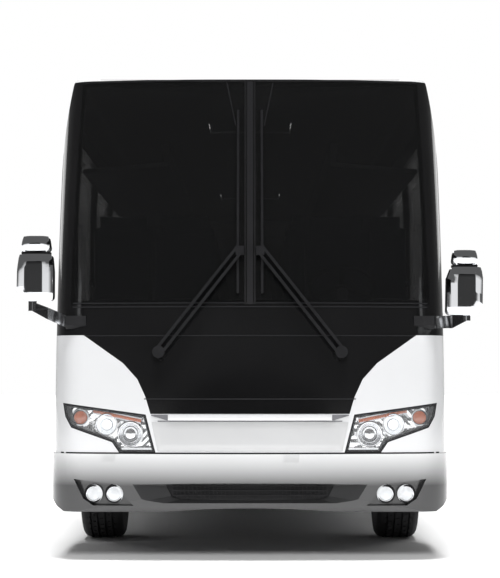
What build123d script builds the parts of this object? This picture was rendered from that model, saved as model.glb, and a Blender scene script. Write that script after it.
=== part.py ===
"""Three-axle highway coach, full size, in millimetres: +X forward, +Y left, +Z up.

The origin is on the ground at the centre of the overall box, mirrors included.
"""

import os
from math import asin, atan2, cos, degrees, hypot, pi, radians, sin, sqrt, tan

from build123d import *

# Overall sizes
LENGTH = 13716.0
WIDTH = 2590.0
HALF_W = WIDTH / 2
MIRROR_AHEAD = 150.0
FRONT_X = LENGTH / 2 - MIRROR_AHEAD / 2
REAR_X = FRONT_X - LENGTH
TOP_Z = 3380.0
SKIRT_Z = 330.0
SHELL = 45.0
GLASS = 8.0
GAP = 6.0

# Body cross-section: upright to the shoulder, then a large arc, a corner and the roof arc
SHOULDER_Z = 2450.0
SIDE_R = 4515.0
CORNER_R = 90.0
ROOF_R = 7650.0

# Front face, seen from the side: a lower arc and the windscreen arc meet at the belt
LOW_R = 5165.0
LOW_Z = 680.0
BELT_Z = 1640.0
LIP_Z = 3245.0
TOP_RAKE = 27.0
PLAN_R = 7000.0
PLAN_CORNER_R = 240.0
PLAN_DEPTH = 1000.0
REAR_CORNER_R = 180.0
FLARE = radians(1.5)

# Slanted line between the windscreen frame and the sides
PILLAR_X = FRONT_X - 430
PILLAR_SLOPE = 0.3925

# Wheels and axles
TYRE_R = 530.0
TYRE_W = 312.0
BEAD_R = 290.0
TYRE_SIDES = 36
TRACK_Y = 1080.0
TWIN_PITCH = 350.0
FRONT_AXLE_X = FRONT_X - 1900
DRIVE_X = FRONT_AXLE_X - 8020
TAG_X = DRIVE_X - 1270
ARCH_FRONT_R = 650.0
ARCH_REAR_R = 600.0
LINER_Y, LINER_GAP, LINER_WALL = 535.0, 10.0, 8.0
KINGPIN_Y = 880.0
ARM_BACK = 220.0
PIN_R = 28.0
SPINDLE_R = 45.0
RUNNING = 0.05

# Heights of the floors and bands
FLOOR_Z = 1350.0
CAB_Z = 1200.0
PLATE = 40.0
BAY_Z = 430.0
BAND_TOP = 2990.0
WINDOW_LOW = 1720.0
WINDOW_HIGH = 2900.0
LEDGE = 25.0

# Luggage doors: low and high X of each
BAY_FRONT = FRONT_AXLE_X - 733
BAY_REAR = DRIVE_X + 690
BAY_COUNT = 3
BAY_POST = 40.0
BAY_PITCH = (BAY_FRONT - BAY_REAR - BAY_POST) / BAY_COUNT
BAY_DOORS = [(BAY_REAR + BAY_POST + i * BAY_PITCH, BAY_REAR + (i + 1) * BAY_PITCH) for i in range(BAY_COUNT)]
BAY_LOW = 400.0
BAY_HIGH = 1290.0

# Entrance door, on the right
DOOR_REAR = FRONT_X - 1250
DOOR_LOW = 376.0
DOOR_HIGH = 2480.0

# Rear openings
LOUVRES, LOUVRE_PITCH, LOUVRE_GAP = 10, 72.0, 30.0
LID_HALF = 850.0
LID_LOW = 560.0
LID_HIGH = 1560.0
SERVICE_FRONT = REAR_X + 1750
SERVICE_REAR = REAR_X + 560
CAP_X = REAR_X + 450

# Front lamps and panels, as outlines in Y and Z
MASK = [(1084, 1472), (1084, 1465), (832, 1289), (736, 1184), (682, 1070), (648, 958)]
HEADLAMP = [(1230, 1028), (679, 954), (613, 704), (851, 704), (899, 773), (1171, 867), (1213, 939)]
HEADLAMP_DEPTH, COVER = 150.0, 6.0
BOWLS = [(1111, 932, 55), (939, 886, 75), (781, 827, 84)]
FOG_RECESS = [(1150, 534), (884, 503), (758, 362), (1022, 362), (1086, 406)]
FOG_LAMPS = [(1020, 438, 60), (885, 438, 60)]
FOG_DEPTH = 35.0
INTAKE = [(546, 492), (512, 424), (455, 401)]
SCOOP = [(1000, 512), (878, 366), (785, 331)]
PANEL_SEAM = 1472.0
BUMPER_TOP = 698.0
BUMPER_LOW = 320.0
BUMPER_BELLY = 600.0
BUMPER_PROUD = 15.0


def on(centre, radius, angle):
    return centre[0] + radius * cos(angle), centre[1] + radius * sin(angle)


def arc(centre, radius, start, end):
    return ThreePointArc(on(centre, radius, start), on(centre, radius, (start + end) / 2), on(centre, radius, end))


def solids_of(*things):
    found = []
    for thing in things:
        if thing is None:
            continue
        found += solids_of(*thing) if isinstance(thing, (list, tuple)) else list(thing.solids())
    return found


def keep(shape, tool):
    return solids_of([a & b for a in solids_of(shape) for b in solids_of(tool)])


def less(shape, *tools):
    cutters = solids_of(*tools)
    return solids_of([a - cutters for a in solids_of(shape)])


def join(*shapes):
    first, *rest = solids_of(*shapes)
    return solids_of(first + rest)


def block(x, y, z):
    size = [abs(b - a) for a, b in (x, y, z)]
    return Pos(*[(a + b) / 2 for a, b in (x, y, z)]) * Box(*size)


def across(points, low=-HALF_W - 200, high=HALF_W + 200):
    """Prism of an outline in X and Z, running along Y."""
    face = Plane.XZ.offset(-high) * make_face(Polyline(*points, close=True))
    return extrude(face, high - low)


def along(points, low=FRONT_X - 1500, high=FRONT_X + 400):
    """Prism of an outline in Y and Z, running along X."""
    face = Plane.YZ.offset(low) * make_face(Polyline(*points, close=True))
    return extrude(face, high - low)


def both(points):
    return [[(y * side, z) for y, z in points] for side in (1, -1)]


def rod(start, end, radius):
    start, end = Vector(*start), Vector(*end)
    plane = Plane(start, z_dir=end - start)
    return extrude(plane * Circle(radius), (end - start).length)


def section():
    side_c = (HALF_W - SIDE_R, SHOULDER_Z)
    roof_c = (0.0, TOP_Z - ROOF_R)
    dx, dy = roof_c[0] - side_c[0], roof_c[1] - side_c[1]
    gap = hypot(dx, dy)
    r0, r1 = SIDE_R - CORNER_R, ROOF_R - CORNER_R
    a = (r0 * r0 - r1 * r1 + gap * gap) / (2 * gap)
    h = sqrt(r0 * r0 - a * a)
    foot = (side_c[0] + a * dx / gap, side_c[1] + a * dy / gap)
    corner = max(((foot[0] - s * h * dy / gap, foot[1] + s * h * dx / gap) for s in (1, -1)), key=lambda p: p[0])
    low = atan2(corner[1] - side_c[1], corner[0] - side_c[0])
    high = atan2(corner[1] - roof_c[1], corner[0] - roof_c[0])
    right = [Line((HALF_W, -500), (HALF_W, SHOULDER_Z)), arc(side_c, SIDE_R, 0, low), arc(corner, CORNER_R, low, high)]
    left = [mirror(edge, about=Plane.YZ) for edge in right]
    base = Line((-HALF_W, -500), (HALF_W, -500))
    return make_face(Curve() + right + left + [arc(roof_c, ROOF_R, high, pi - high), base])


def inward(face, inset):
    return offset(face, -inset) if inset else face


def nose(centre, radius, start, end, inset):
    """Front band: the plan outline turned about a level axis across the coach."""
    yc = HALF_W - PLAN_CORNER_R
    big = (radius - PLAN_R, 0.0)
    corner = (big[0] + sqrt((PLAN_R - PLAN_CORNER_R) ** 2 - yc**2), yc)
    turn = atan2(corner[1], corner[0] - big[0])
    back = radius - PLAN_DEPTH
    flank = on(corner, PLAN_CORNER_R - inset, pi / 2 - FLARE)
    wide = flank[1] + (flank[0] - back) * tan(FLARE)
    right = [Line((back, wide), flank), arc(corner, PLAN_CORNER_R - inset, pi / 2 - FLARE, turn)]
    left = [mirror(edge, about=Plane.XZ) for edge in right]
    outline = Curve() + right + left + [arc(big, PLAN_R - inset, turn, -turn), Line((back, -wide), (back, wide))]
    plane = Plane(
        origin=(centre[0], 0, centre[1]), x_dir=(cos(start), 0, sin(start)), z_dir=(sin(start), 0, -cos(start))
    )
    face = plane * make_face(outline)
    return revolve(face, axis=Axis((centre[0], 0, centre[1]), (0, -1, 0)), revolution_arc=degrees(end - start))


FORMS = {}
LOWEST = -900.0


def form(inset):
    """Outer body volume, moved inward all over by inset."""
    if inset in FORMS:
        return FORMS[inset]
    tube = extrude(Plane.YZ.offset(-LENGTH / 2 - 600) * inward(section(), inset), LENGTH + 1200).solid()
    drop_r = (1865**2 + 150**2) / 300
    drop_c = (FRONT_X - 2525, TOP_Z + 12 - drop_r)
    drop = pi / 2 - asin(2600 / drop_r)
    profile = make_face(
        Curve()
        + [
            Line((REAR_X - 68, LOWEST), (REAR_X + 45, 3100)),
            Line((REAR_X + 45, 3100), (REAR_X + 200, TOP_Z + 12)),
            Line((REAR_X + 200, TOP_Z + 12), (drop_c[0], TOP_Z + 12)),
            arc(drop_c, drop_r, pi / 2, drop),
            Line(on(drop_c, drop_r, drop), (FRONT_X + 675, LOWEST)),
            Line((FRONT_X + 675, LOWEST), (REAR_X - 68, LOWEST)),
        ]
    )
    slab = extrude(Plane.XZ * inward(profile, inset), 2000, both=True).solid()
    low_c = (FRONT_X - LOW_R, LOW_Z)
    belt = asin((BELT_Z - LOW_Z) / LOW_R)
    belt_x = low_c[0] + LOW_R * cos(belt)
    screen_r = (LIP_Z - BELT_Z) / (sin(radians(TOP_RAKE)) - sin(belt))
    screen_c = (belt_x - screen_r * cos(belt), BELT_Z - screen_r * sin(belt))
    low = nose(low_c, LOW_R, radians(-6), belt, inset)
    high = nose(screen_c, screen_r, belt, radians(33), inset)
    core = block((REAR_X - 300, FRONT_X - 925), (-1900, 1900), (LOWEST, 3900))
    front = solids_of(core + low + high)[0]
    end_c, end_r = (REAR_X + REAR_CORNER_R, HALF_W - REAR_CORNER_R), REAR_CORNER_R - inset
    flank = on(end_c, end_r, pi / 2 + FLARE)
    far = FRONT_X + 700
    wide = flank[1] + (far - flank[0]) * tan(FLARE)
    right = [arc(end_c, end_r, pi, pi / 2 + FLARE), Line(flank, (far, wide))]
    left = [mirror(edge, about=Plane.XZ) for edge in right]
    tail = REAR_X + inset
    ends = [Line((far, wide), (far, -wide)), Line((tail, end_c[1]), (tail, -end_c[1]))]
    rear = extrude(Pos(0, 0, LOWEST) * make_face(Curve() + right + left + ends), 4900).solid()
    FORMS[inset] = (((tube & slab).solid() & rear).solid() & front).solid()
    return FORMS[inset]


def skin(outer, inner):
    """Layer of the body between two depths below its surface."""
    return less(form(outer), form(inner))


def pillar_line(z, back=0.0):
    return PILLAR_X - PILLAR_SLOPE * (z - BELT_Z) - back


HINGE_R, HINGE_PIN_R, HINGE_LEAF = 10.0, 5.0, 30.0


def hinged(fixed, moving, point, places):
    """Level hinges along Y through point: knuckles and pins on fixed, a bored knuckle on moving."""
    x, z = point

    def bar(low, high, radius):
        return rod((x, low, z), (x, high, z), radius)

    for y in places:
        a, b = y - HINGE_LEAF, y + HINGE_LEAF
        fixed = less(fixed, bar(a - 1, b + 1, HINGE_R + 1))
        moving = less(moving, bar(a - HINGE_LEAF - 2, a, HINGE_R + 1), bar(b, b + HINGE_LEAF + 2, HINGE_R + 1))
        ears = [bar(a - HINGE_LEAF, a - 1, HINGE_R), bar(b + 1, b + HINGE_LEAF, HINGE_R)]
        fixed = join(fixed, ears, bar(a - HINGE_LEAF, b + HINGE_LEAF, HINGE_PIN_R))
        moving = less(join(moving, bar(a, b, HINGE_R)), bar(a - 5, b + 5, HINGE_PIN_R + RUNNING))
    return fixed, moving


shell = skin(0, SHELL)
nodes = {}

# Glass and window openings
pane = skin(0, GLASS)
WINDOW_FRONT = FRONT_X - 1380
WINDOW_REAR = REAR_X + 900
WINDOW_COUNT = 7
WINDOW_POST = 60.0
window_pitch = (WINDOW_FRONT - WINDOW_REAR + WINDOW_POST) / WINDOW_COUNT
windows = [
    (WINDOW_REAR + i * window_pitch, WINDOW_REAR + (i + 1) * window_pitch - WINDOW_POST) for i in range(WINDOW_COUNT)
]


def window_outline(low, high, inset):
    return [
        (low + inset, WINDOW_LOW + inset),
        (high - inset, WINDOW_LOW + inset),
        (high - inset, WINDOW_HIGH - inset),
        (low + inset, WINDOW_HIGH - inset),
    ]


def driver_outline(inset):
    return [
        (FRONT_X - 1300 + inset, WINDOW_LOW + inset),
        (pillar_line(WINDOW_LOW, 110 + inset), WINDOW_LOW + inset),
        (pillar_line(WINDOW_HIGH, 110 + inset), WINDOW_HIGH - inset),
        (FRONT_X - 1300 + inset, WINDOW_HIGH - inset),
    ]


left_half, right_half = (0, HALF_W + 100), (-HALF_W - 100, 0)
nodes["window_bands"], nodes["side_glass"] = [], []
for side, half in (("left", left_half), ("right", right_half)):
    glass = []
    holes = []
    for low, high in windows:
        glass += keep(pane, across(window_outline(low, high, 0), *half))
        holes.append(across(window_outline(low, high, LEDGE), *half))
    if side == "left":
        glass += keep(pane, across(driver_outline(0), *half))
        holes.append(across(driver_outline(LEDGE), *half))
    band_outline = [
        (CAP_X, BELT_Z),
        (pillar_line(BELT_Z), BELT_Z),
        (pillar_line(BAND_TOP), BAND_TOP),
        (CAP_X, BAND_TOP),
    ]
    band = keep(shell, across(band_outline, *half))
    if side == "right":
        doorway = [
            (DOOR_REAR - GAP, BELT_Z - 10),
            (pillar_line(BELT_Z - 10), BELT_Z - 10),
            (pillar_line(DOOR_HIGH + GAP), DOOR_HIGH + GAP),
            (DOOR_REAR - GAP, DOOR_HIGH + GAP),
        ]
        band = less(band, across(doorway, *half))
    nodes["window_bands"] += less(band, glass, holes)
    nodes["side_glass"] += glass

# Roof with two hatches
roof_hatches = [(FRONT_X - 4200, FRONT_X - 3500), (REAR_X + 3300, REAR_X + 4000)]
HATCH_HALF, HATCH_RISE = 350.0, 15.0
HATCH_PIVOT_Z = TOP_Z + 3.0
roof_outline = [
    (REAR_X - 50, BAND_TOP),
    (pillar_line(BAND_TOP), BAND_TOP),
    (pillar_line(LIP_Z), LIP_Z),
    (FRONT_X, LIP_Z),
    (FRONT_X, 3500),
    (REAR_X - 50, 3500),
]
roof = keep(shell, across(roof_outline))
for i, (low, high) in enumerate(roof_hatches):
    roof = less(roof, block((low, high), (-HATCH_HALF, HATCH_HALF), (3000, 3600)))
    lid_box = block((low + GAP, high - GAP), (GAP - HATCH_HALF, HATCH_HALF - GAP), (3000, 3600))
    hatch = keep(skin(-HATCH_RISE, SHELL - HATCH_RISE), lid_box)
    roof, hatch = hinged(roof, hatch, (high - GAP, HATCH_PIVOT_Z), (-200, 200))
    nodes[f"roof_hatch_{('front', 'rear')[i]}"] = hatch
nodes["roof"] = roof

# Windscreen and the black frame round it
SCREEN_LOW = 1675.0
SCREEN_HIGH = 3225.0
SCREEN_POST = 14.0


def screen_outline(inset):
    return [
        (SCREEN_POST + inset, SCREEN_LOW + inset),
        (1190 - inset, SCREEN_LOW + inset),
        (1160 - inset, SCREEN_HIGH - inset),
        (SCREEN_POST + inset, SCREEN_HIGH - inset),
    ]


frame_outline = [
    (PILLAR_X, PANEL_SEAM),
    (PILLAR_X, BELT_Z),
    (pillar_line(LIP_Z), LIP_Z),
    (FRONT_X + 100, LIP_Z),
    (FRONT_X + 100, PANEL_SEAM),
]
screens = [keep(pane, along(outline)) for outline in both(screen_outline(0))]
screen_holes = [along(outline) for outline in both(screen_outline(LEDGE))]
nodes["windscreen"] = solids_of(screens)
nodes["windscreen_frame"] = less(keep(shell, across(frame_outline)), screens, screen_holes)

# Front panels, headlamps
mask_outline = MASK + [(-y, z) for y, z in reversed(MASK)]
front_box = block((PILLAR_X, FRONT_X + 100), (-1400, 1400), (BUMPER_TOP, PANEL_SEAM))
front_shell = keep(shell, front_box)
mask_prism = along(mask_outline)
nodes["front_mask"] = keep(front_shell, mask_prism)


def lamp_prism(points, inset):
    face = make_face(Polyline(*points, close=True))
    face = offset(face, -inset, kind=Kind.INTERSECTION) if inset else face
    return extrude(Plane.YZ.offset(FRONT_X - 700) * face, 1100)


def lamp_layer(outer, inner):
    return keep(skin(outer, inner), front_box)


cover_layer, cavity_layer = lamp_layer(0, COVER), lamp_layer(COVER, HEADLAMP_DEPTH)
wall_layer = lamp_layer(0, HEADLAMP_DEPTH + 2 * COVER)
bowl_layer, bore_layer = lamp_layer(30, HEADLAMP_DEPTH), lamp_layer(0, HEADLAMP_DEPTH - 20)
housings, covers, bowls, holes = [], [], [], []
for outline, side in zip(both(HEADLAMP), (1, -1)):
    outer = lamp_prism(outline, 0)
    cover = keep(cover_layer, lamp_prism(outline, 10))
    cavity = keep(cavity_layer, lamp_prism(outline, 20))
    housings += less(keep(wall_layer, outer), cover, cavity)
    covers += cover
    holes.append(outer)
    for y, z, radius in BOWLS:
        ends = (FRONT_X - 700, y * side, z), (FRONT_X + 200, y * side, z)
        can = keep(rod(*ends, radius), lamp_prism(outline, 20))
        bowls += less(keep(bowl_layer, can), keep(bore_layer, rod(*ends, radius - 8)))
nodes["headlamp_covers"] = covers
nodes["headlamp_bowls"] = bowls
nodes["front_panel"] = less(front_shell, mask_prism, holes)

# Front bumper with an inner liner
BUMPER_BACK = FRONT_X - 1230
bumper_profile = [
    (-1400, BUMPER_TOP),
    (-1400, 400),
    (-HALF_W - BUMPER_PROUD, 400),
    (25 - HALF_W, 352),
    (75 - HALF_W, BUMPER_LOW),
]
bumper_outline = bumper_profile + [(-y, z) for y, z in reversed(bumper_profile)]
lip = FRONT_X + BUMPER_PROUD
bumper_side = make_face(
    Curve()
    + [
        Line((BUMPER_BACK, BUMPER_TOP), (lip, BUMPER_TOP)),
        Line((lip, BUMPER_TOP), (lip, BUMPER_BELLY)),
        ThreePointArc((lip, BUMPER_BELLY), (lip - 22, 450), (lip - 110, BUMPER_LOW)),
        Line((lip - 110, BUMPER_LOW), (BUMPER_BACK, BUMPER_LOW)),
        Line((BUMPER_BACK, BUMPER_LOW), (BUMPER_BACK, BUMPER_TOP)),
    ]
)
bumper = keep(skin(-BUMPER_PROUD, 60), along(bumper_outline, BUMPER_BACK))
bumper = keep(bumper, extrude(Plane.XZ * bumper_side, 1500, both=True))
bumper = less(bumper, block((BUMPER_BACK - 10, PILLAR_X), (-1400, 0), (0, BUMPER_TOP + 5)))
recess = keep(skin(-2 * BUMPER_PROUD, FOG_DEPTH), [along(outline) for outline in both(FOG_RECESS)])


def mouth(outline, x):
    points = [(x, y, z) for y, z in outline + [(-y, z) for y, z in reversed(outline)]]
    return make_face(Polyline(*points, close=True))


intake_outline = INTAKE + [(-y, z) for y, z in reversed(INTAKE)]
scoop = loft([mouth(SCOOP, FRONT_X + 20), mouth(INTAKE, FRONT_X - 75)], ruled=True)
liner_box = block((FRONT_X - 500, FRONT_X + 100), (-1150, 1150), (340, 620))
nodes["lamp_housings"] = housings + keep(skin(60, 80), liner_box)
fogs = []
for side in (1, -1):
    for y, z, radius in FOG_LAMPS:
        ends = (FRONT_X - 500, y * side, z), (FRONT_X + 200, y * side, z)
        fogs += keep(skin(8, 60), rod(*ends, radius))
        recess.append(rod(*ends, radius + 3))
nodes["fog_lamps"] = fogs
nodes["front_bumper"] = less(bumper, recess, scoop, along(intake_outline))

# Lower sides with wheel arches
arches = [
    rod((x, -1500, TYRE_R), (x, 1500, TYRE_R), r)
    for x, r in ((FRONT_AXLE_X, ARCH_FRONT_R), (DRIVE_X, ARCH_REAR_R), (TAG_X, ARCH_REAR_R))
]
arch_slots = [
    block((x - r, x + r), (-1500, 1500), (0, TYRE_R))
    for x, r in ((FRONT_AXLE_X, ARCH_FRONT_R), (DRIVE_X, ARCH_REAR_R), (TAG_X, ARCH_REAR_R))
]
nodes["lower_sides"] = []
for side, half in (("left", left_half), ("right", right_half)):
    side_box = block((CAP_X, PILLAR_X), half, (SKIRT_Z, BELT_Z))
    panel = less(keep(shell, side_box), arches, arch_slots)
    panel = less(panel, block((BUMPER_BACK, PILLAR_X + 10), half, (0, BUMPER_TOP)))
    for low, high in BAY_DOORS:
        panel = less(panel, block((low, high), half, (0, BAY_HIGH)))
    if side == "right":
        panel = less(panel, block((DOOR_REAR - GAP, PILLAR_X + 10), half, (0, BELT_Z + 10)))
    panel = less(panel, block((SERVICE_REAR, SERVICE_FRONT), half, (LID_LOW, LID_HIGH)))
    nodes["lower_sides"] += panel
    for i, (low, high) in enumerate(BAY_DOORS):
        flap = block((low + GAP, high - GAP), half, (BAY_LOW, BAY_HIGH - GAP))
        nodes[f"luggage_door_{side}_{i + 1}"] = keep(shell, flap)
    service = block((SERVICE_REAR + GAP, SERVICE_FRONT - GAP), half, (LID_LOW + GAP, LID_HIGH - GAP))
    service_door = keep(shell, service)
    slots = []
    for i in range(LOUVRES):
        z = LID_LOW + 150 + i * LOUVRE_PITCH
        slots.append(block((SERVICE_REAR + 150, SERVICE_FRONT - 150), half, (z, z + LOUVRE_GAP)))
    nodes["service_door_" + side] = less(service_door, slots)

# Wheelhouse liners, open at the bottom and inboard
liners = []
for x, r in ((FRONT_AXLE_X, ARCH_FRONT_R), (DRIVE_X, ARCH_REAR_R), (TAG_X, ARCH_REAR_R)):
    ends = (x, LINER_Y, TYRE_R), (x, HALF_W - SHELL, TYRE_R)
    ahead = min(x + r + 50, DOOR_REAR - 2 * GAP)
    upper = block((x - r - 50, ahead), (LINER_Y, HALF_W), (TYRE_R + 90, CAB_Z - PLATE - 2))
    liners += keep(less(rod(*ends, r + LINER_GAP + LINER_WALL), rod(*ends, r + LINER_GAP)), upper)
nodes["arch_liners"] = liners + [mirror(liner, about=Plane.XZ) for liner in liners]

# Entrance door with one tall pane


def door_outline(inset):
    return [
        (DOOR_REAR + inset, DOOR_LOW + inset),
        (PILLAR_X - GAP - inset, DOOR_LOW + inset),
        (PILLAR_X - GAP - inset, BELT_Z),
        (pillar_line(DOOR_HIGH - inset, GAP + inset), DOOR_HIGH - inset),
        (DOOR_REAR + inset, DOOR_HIGH - inset),
    ]


door_blank = keep(shell, across(door_outline(0), *right_half))
door_glass = keep(pane, across(door_outline(75), *right_half))
nodes["entrance_door"] = less(door_blank, door_glass, across(door_outline(75 + LEDGE), *right_half))
nodes["entrance_door_glass"] = door_glass

# Rear cap, engine lid, rear bumper, tail lamps
cap = keep(shell, block((REAR_X - 50, CAP_X), (-1400, 1400), (SKIRT_Z + 190, BAND_TOP)))
cap = less(cap, block((REAR_X - 50, REAR_X + 300), (-LID_HALF, LID_HALF), (LID_LOW, LID_HIGH)))
TAIL = [(1010, 1180, 1240, 1460), (1010, 1180, 1480, 1620), (1010, 1180, 1640, 1760)]
tails = []
for side in (1, -1):
    for y0, y1, z0, z1 in TAIL:
        lamp = block((REAR_X - 50, REAR_X + 300), (y0 * side, y1 * side), (z0, z1))
        tails += keep(skin(0, 30), lamp)
nodes["tail_lamps"] = tails
lid = block((REAR_X - 50, REAR_X + 300), (GAP - LID_HALF, LID_HALF - GAP), (LID_LOW + GAP, LID_HIGH - GAP))
cap, nodes["engine_lid"] = hinged(cap, keep(shell, lid), (REAR_X, LID_HIGH - GAP), (-500, 500))
slots = []
for i in range(LOUVRES):
    z = LID_LOW + 180 + i * LOUVRE_PITCH
    for y in (-390, 390):
        slots.append(block((REAR_X - 80, REAR_X + 120), (y - 300, y + 300), (z, z + LOUVRE_GAP)))
nodes["engine_lid"] = less(nodes["engine_lid"], slots)
rear_bumper = keep(skin(0, 60), block((REAR_X - 50, CAP_X), (-1400, 1400), (SKIRT_Z, SKIRT_Z + 190)))
nodes["rear_cap"] = less(join(cap, rear_bumper), tails)

# Cab floor with entrance steps, passenger floor
core = form(SHELL)
STEPS = [(-1245, 400), (-960, 600), (-690, 800), (-420, 1000), (-160, CAB_Z)]
tread = []
for (y0, z0), (y1, z1) in zip(STEPS, STEPS[1:]):
    tread += [(y0, z0), (y1, z0)]
CAB_REAR, CAB_FRONT = FRONT_AXLE_X, PILLAR_X - 20
LANDING_Y, CAB_Y = STEPS[-1][0] + PLATE, 1000.0
stair_outline = tread + [(STEPS[-1][0], CAB_Z), (CAB_Y, CAB_Z), (CAB_Y, CAB_Z - PLATE)]
stair_outline += [(LANDING_Y, CAB_Z - PLATE)] + [(y + PLATE, z - PLATE) for y, z in reversed(tread[1:])]
stair_outline += [(STEPS[0][0], STEPS[0][1] - PLATE)]
wide = (-HALF_W - 50, HALF_W + 50)
stair = along(stair_outline, DOOR_REAR + 20, CAB_FRONT)
platform = block((CAB_REAR, CAB_FRONT), (LANDING_Y, wide[1]), (CAB_Z - PLATE, CAB_Z))
behind = block((CAB_REAR, DOOR_REAR + 20), (wide[0], LANDING_Y), (CAB_Z - PLATE, CAB_Z))
riser = block((CAB_REAR - PLATE, CAB_REAR), wide, (CAB_Z - PLATE, FLOOR_Z - PLATE))
nodes["cab_floor"] = keep(join(stair, platform, behind, riser), core)
nodes["passenger_floor"] = keep(block((REAR_X + 300, CAB_REAR), wide, (FLOOR_Z - PLATE, FLOOR_Z)), core)

# Luggage floor with jack pads, bulkheads, front and rear rails with tow lugs
BAY_PLATE, PAD_RISE, PAD_Y = 30.0, 20.0, 760.0
bay_floor = block((BAY_REAR, BAY_FRONT + BAY_POST), wide, (BAY_Z - BAY_PLATE, BAY_Z))
pads = []
for y in (PAD_Y, -PAD_Y):
    pads.append(block((BAY_REAR + 20, BAY_REAR + 140), (y - 60, y + 60), (BAY_Z - BAY_PLATE - PAD_RISE, BAY_Z)))
nodes["luggage_floor"] = join(keep(bay_floor, core), pads)
bulkheads = []
for i in range(BAY_COUNT + 1):
    x = BAY_REAR + i * BAY_PITCH
    bulkheads.append(block((x, x + BAY_POST), wide, (BAY_Z, FLOOR_Z - PLATE)))
nodes["bulkheads"] = keep(bulkheads, core)
TOW_X, TOW_Z, TOW_R = REAR_X + 250, 300.0, 25.0
RAIL_Y, RAIL_W, RAIL_LOW, RAIL_HIGH = 400.0, 70.0, 760.0, 900.0
rails, eyes = [], []
for side in (1, -1):
    y = sorted((side * (RAIL_Y - RAIL_W / 2), side * (RAIL_Y + RAIL_W / 2)))
    rails.append(block((BAY_FRONT, DOOR_REAR - 40), y, (RAIL_LOW, RAIL_HIGH)))
    rear_rail = block((REAR_X + 160, BAY_REAR), y, (RAIL_LOW, RAIL_HIGH))
    y = sorted((side * (RAIL_Y - 15), side * (RAIL_Y + 15)))
    rails += join(rear_rail, block((TOW_X - 60, TOW_X + 60), y, (TOW_Z - 50, RAIL_LOW + 20)))
    eyes.append(rod((TOW_X, side * RAIL_Y - 40, TOW_Z), (TOW_X, side * RAIL_Y + 40, TOW_Z), TOW_R))
nodes["frame"] = less(keep(rails, core), eyes)
nodes["engine"] = [block((REAR_X + 400, REAR_X + 1650), (-480, 480), (RAIL_HIGH, FLOOR_Z - 60))]

# Axles, air springs, steering
BEAM_LOW, BEAM_HIGH = 400.0, 500.0
EYE_LOW, EYE_HIGH = 470.0, 590.0
beam = block((FRONT_AXLE_X - 60, FRONT_AXLE_X + 60), (-KINGPIN_Y + 90, KINGPIN_Y - 90), (BEAM_LOW, BEAM_HIGH))
ends = []
for side in (1, -1):
    y = side * KINGPIN_Y
    ends.append(rod((FRONT_AXLE_X, y, EYE_LOW), (FRONT_AXLE_X, y, EYE_HIGH), 55))
    ends.append(rod((FRONT_AXLE_X, y, BEAM_LOW + 20), (FRONT_AXLE_X, y, EYE_HIGH + 50), PIN_R))
    span = sorted((side * (KINGPIN_Y - 130), y))
    ends.append(block((FRONT_AXLE_X - 40, FRONT_AXLE_X + 40), span, (EYE_LOW, EYE_HIGH)))
    post = sorted((side * (KINGPIN_Y - 130), side * (KINGPIN_Y - 90)))
    ends.append(block((FRONT_AXLE_X - 60, FRONT_AXLE_X + 60), post, (BEAM_LOW, EYE_HIGH)))
front_axle = join(beam, ends)


def knuckle(side):
    y = side * KINGPIN_Y
    out = side * (KINGPIN_Y + 80)
    parts = []
    for low, high in ((BEAM_LOW + 20, EYE_LOW - 5), (EYE_HIGH + 5, EYE_HIGH + 50)):
        parts.append(rod((FRONT_AXLE_X, y, low), (FRONT_AXLE_X, y, high), 52))
        parts.append(block((FRONT_AXLE_X - 50, FRONT_AXLE_X + 50), sorted((y, out + side * 5)), (low, high)))
    web = sorted((side * (KINGPIN_Y + 62), out + side * 5))
    parts.append(block((FRONT_AXLE_X - 50, FRONT_AXLE_X + 50), web, (BEAM_LOW + 20, EYE_HIGH + 50)))
    parts.append(rod((FRONT_AXLE_X, out, TYRE_R), (FRONT_AXLE_X, side * (TRACK_Y + 70), TYRE_R), SPINDLE_R))
    back = FRONT_AXLE_X - ARM_BACK
    arm = block((back, FRONT_AXLE_X), sorted((y - 22, y + 22)), (BEAM_LOW + 20, BEAM_LOW + 50))
    parts += [arm, rod((back, y, BEAM_LOW + 20), (back, y, BEAM_LOW + 50), 32)]
    whole = join(parts)
    bores = [
        rod((FRONT_AXLE_X, y, BEAM_LOW), (FRONT_AXLE_X, y, EYE_HIGH + 80), PIN_R + RUNNING),
        rod((back, y, BEAM_LOW), (back, y, BEAM_LOW + 80), 14 + RUNNING),
    ]
    return less(whole, bores)


nodes["knuckle_left"] = knuckle(1)
nodes["knuckle_right"] = knuckle(-1)
tie_x, tie_z = FRONT_AXLE_X - ARM_BACK, BEAM_LOW - 5
tie = [rod((tie_x, -KINGPIN_Y, tie_z), (tie_x, KINGPIN_Y, tie_z), 18)]
for side in (1, -1):
    y = side * KINGPIN_Y
    tie.append(rod((tie_x, y, tie_z - 20), (tie_x, y, BEAM_LOW + 15), 30))
    tie.append(rod((tie_x, y, tie_z), (tie_x, y, BEAM_LOW + 50), 14))
nodes["tie_rod"] = join(tie)


def dead_axle(x, tube_y, tip_y, bulge):
    parts = [rod((x, -tube_y, TYRE_R), (x, tube_y, TYRE_R), 60)]
    parts += [rod((x, -tip_y, TYRE_R), (x, tip_y, TYRE_R), SPINDLE_R)]
    if bulge:
        parts.append(rod((x - 190, 0, TYRE_R), (x + 260, 0, TYRE_R), 170))
    return join(parts)


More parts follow.
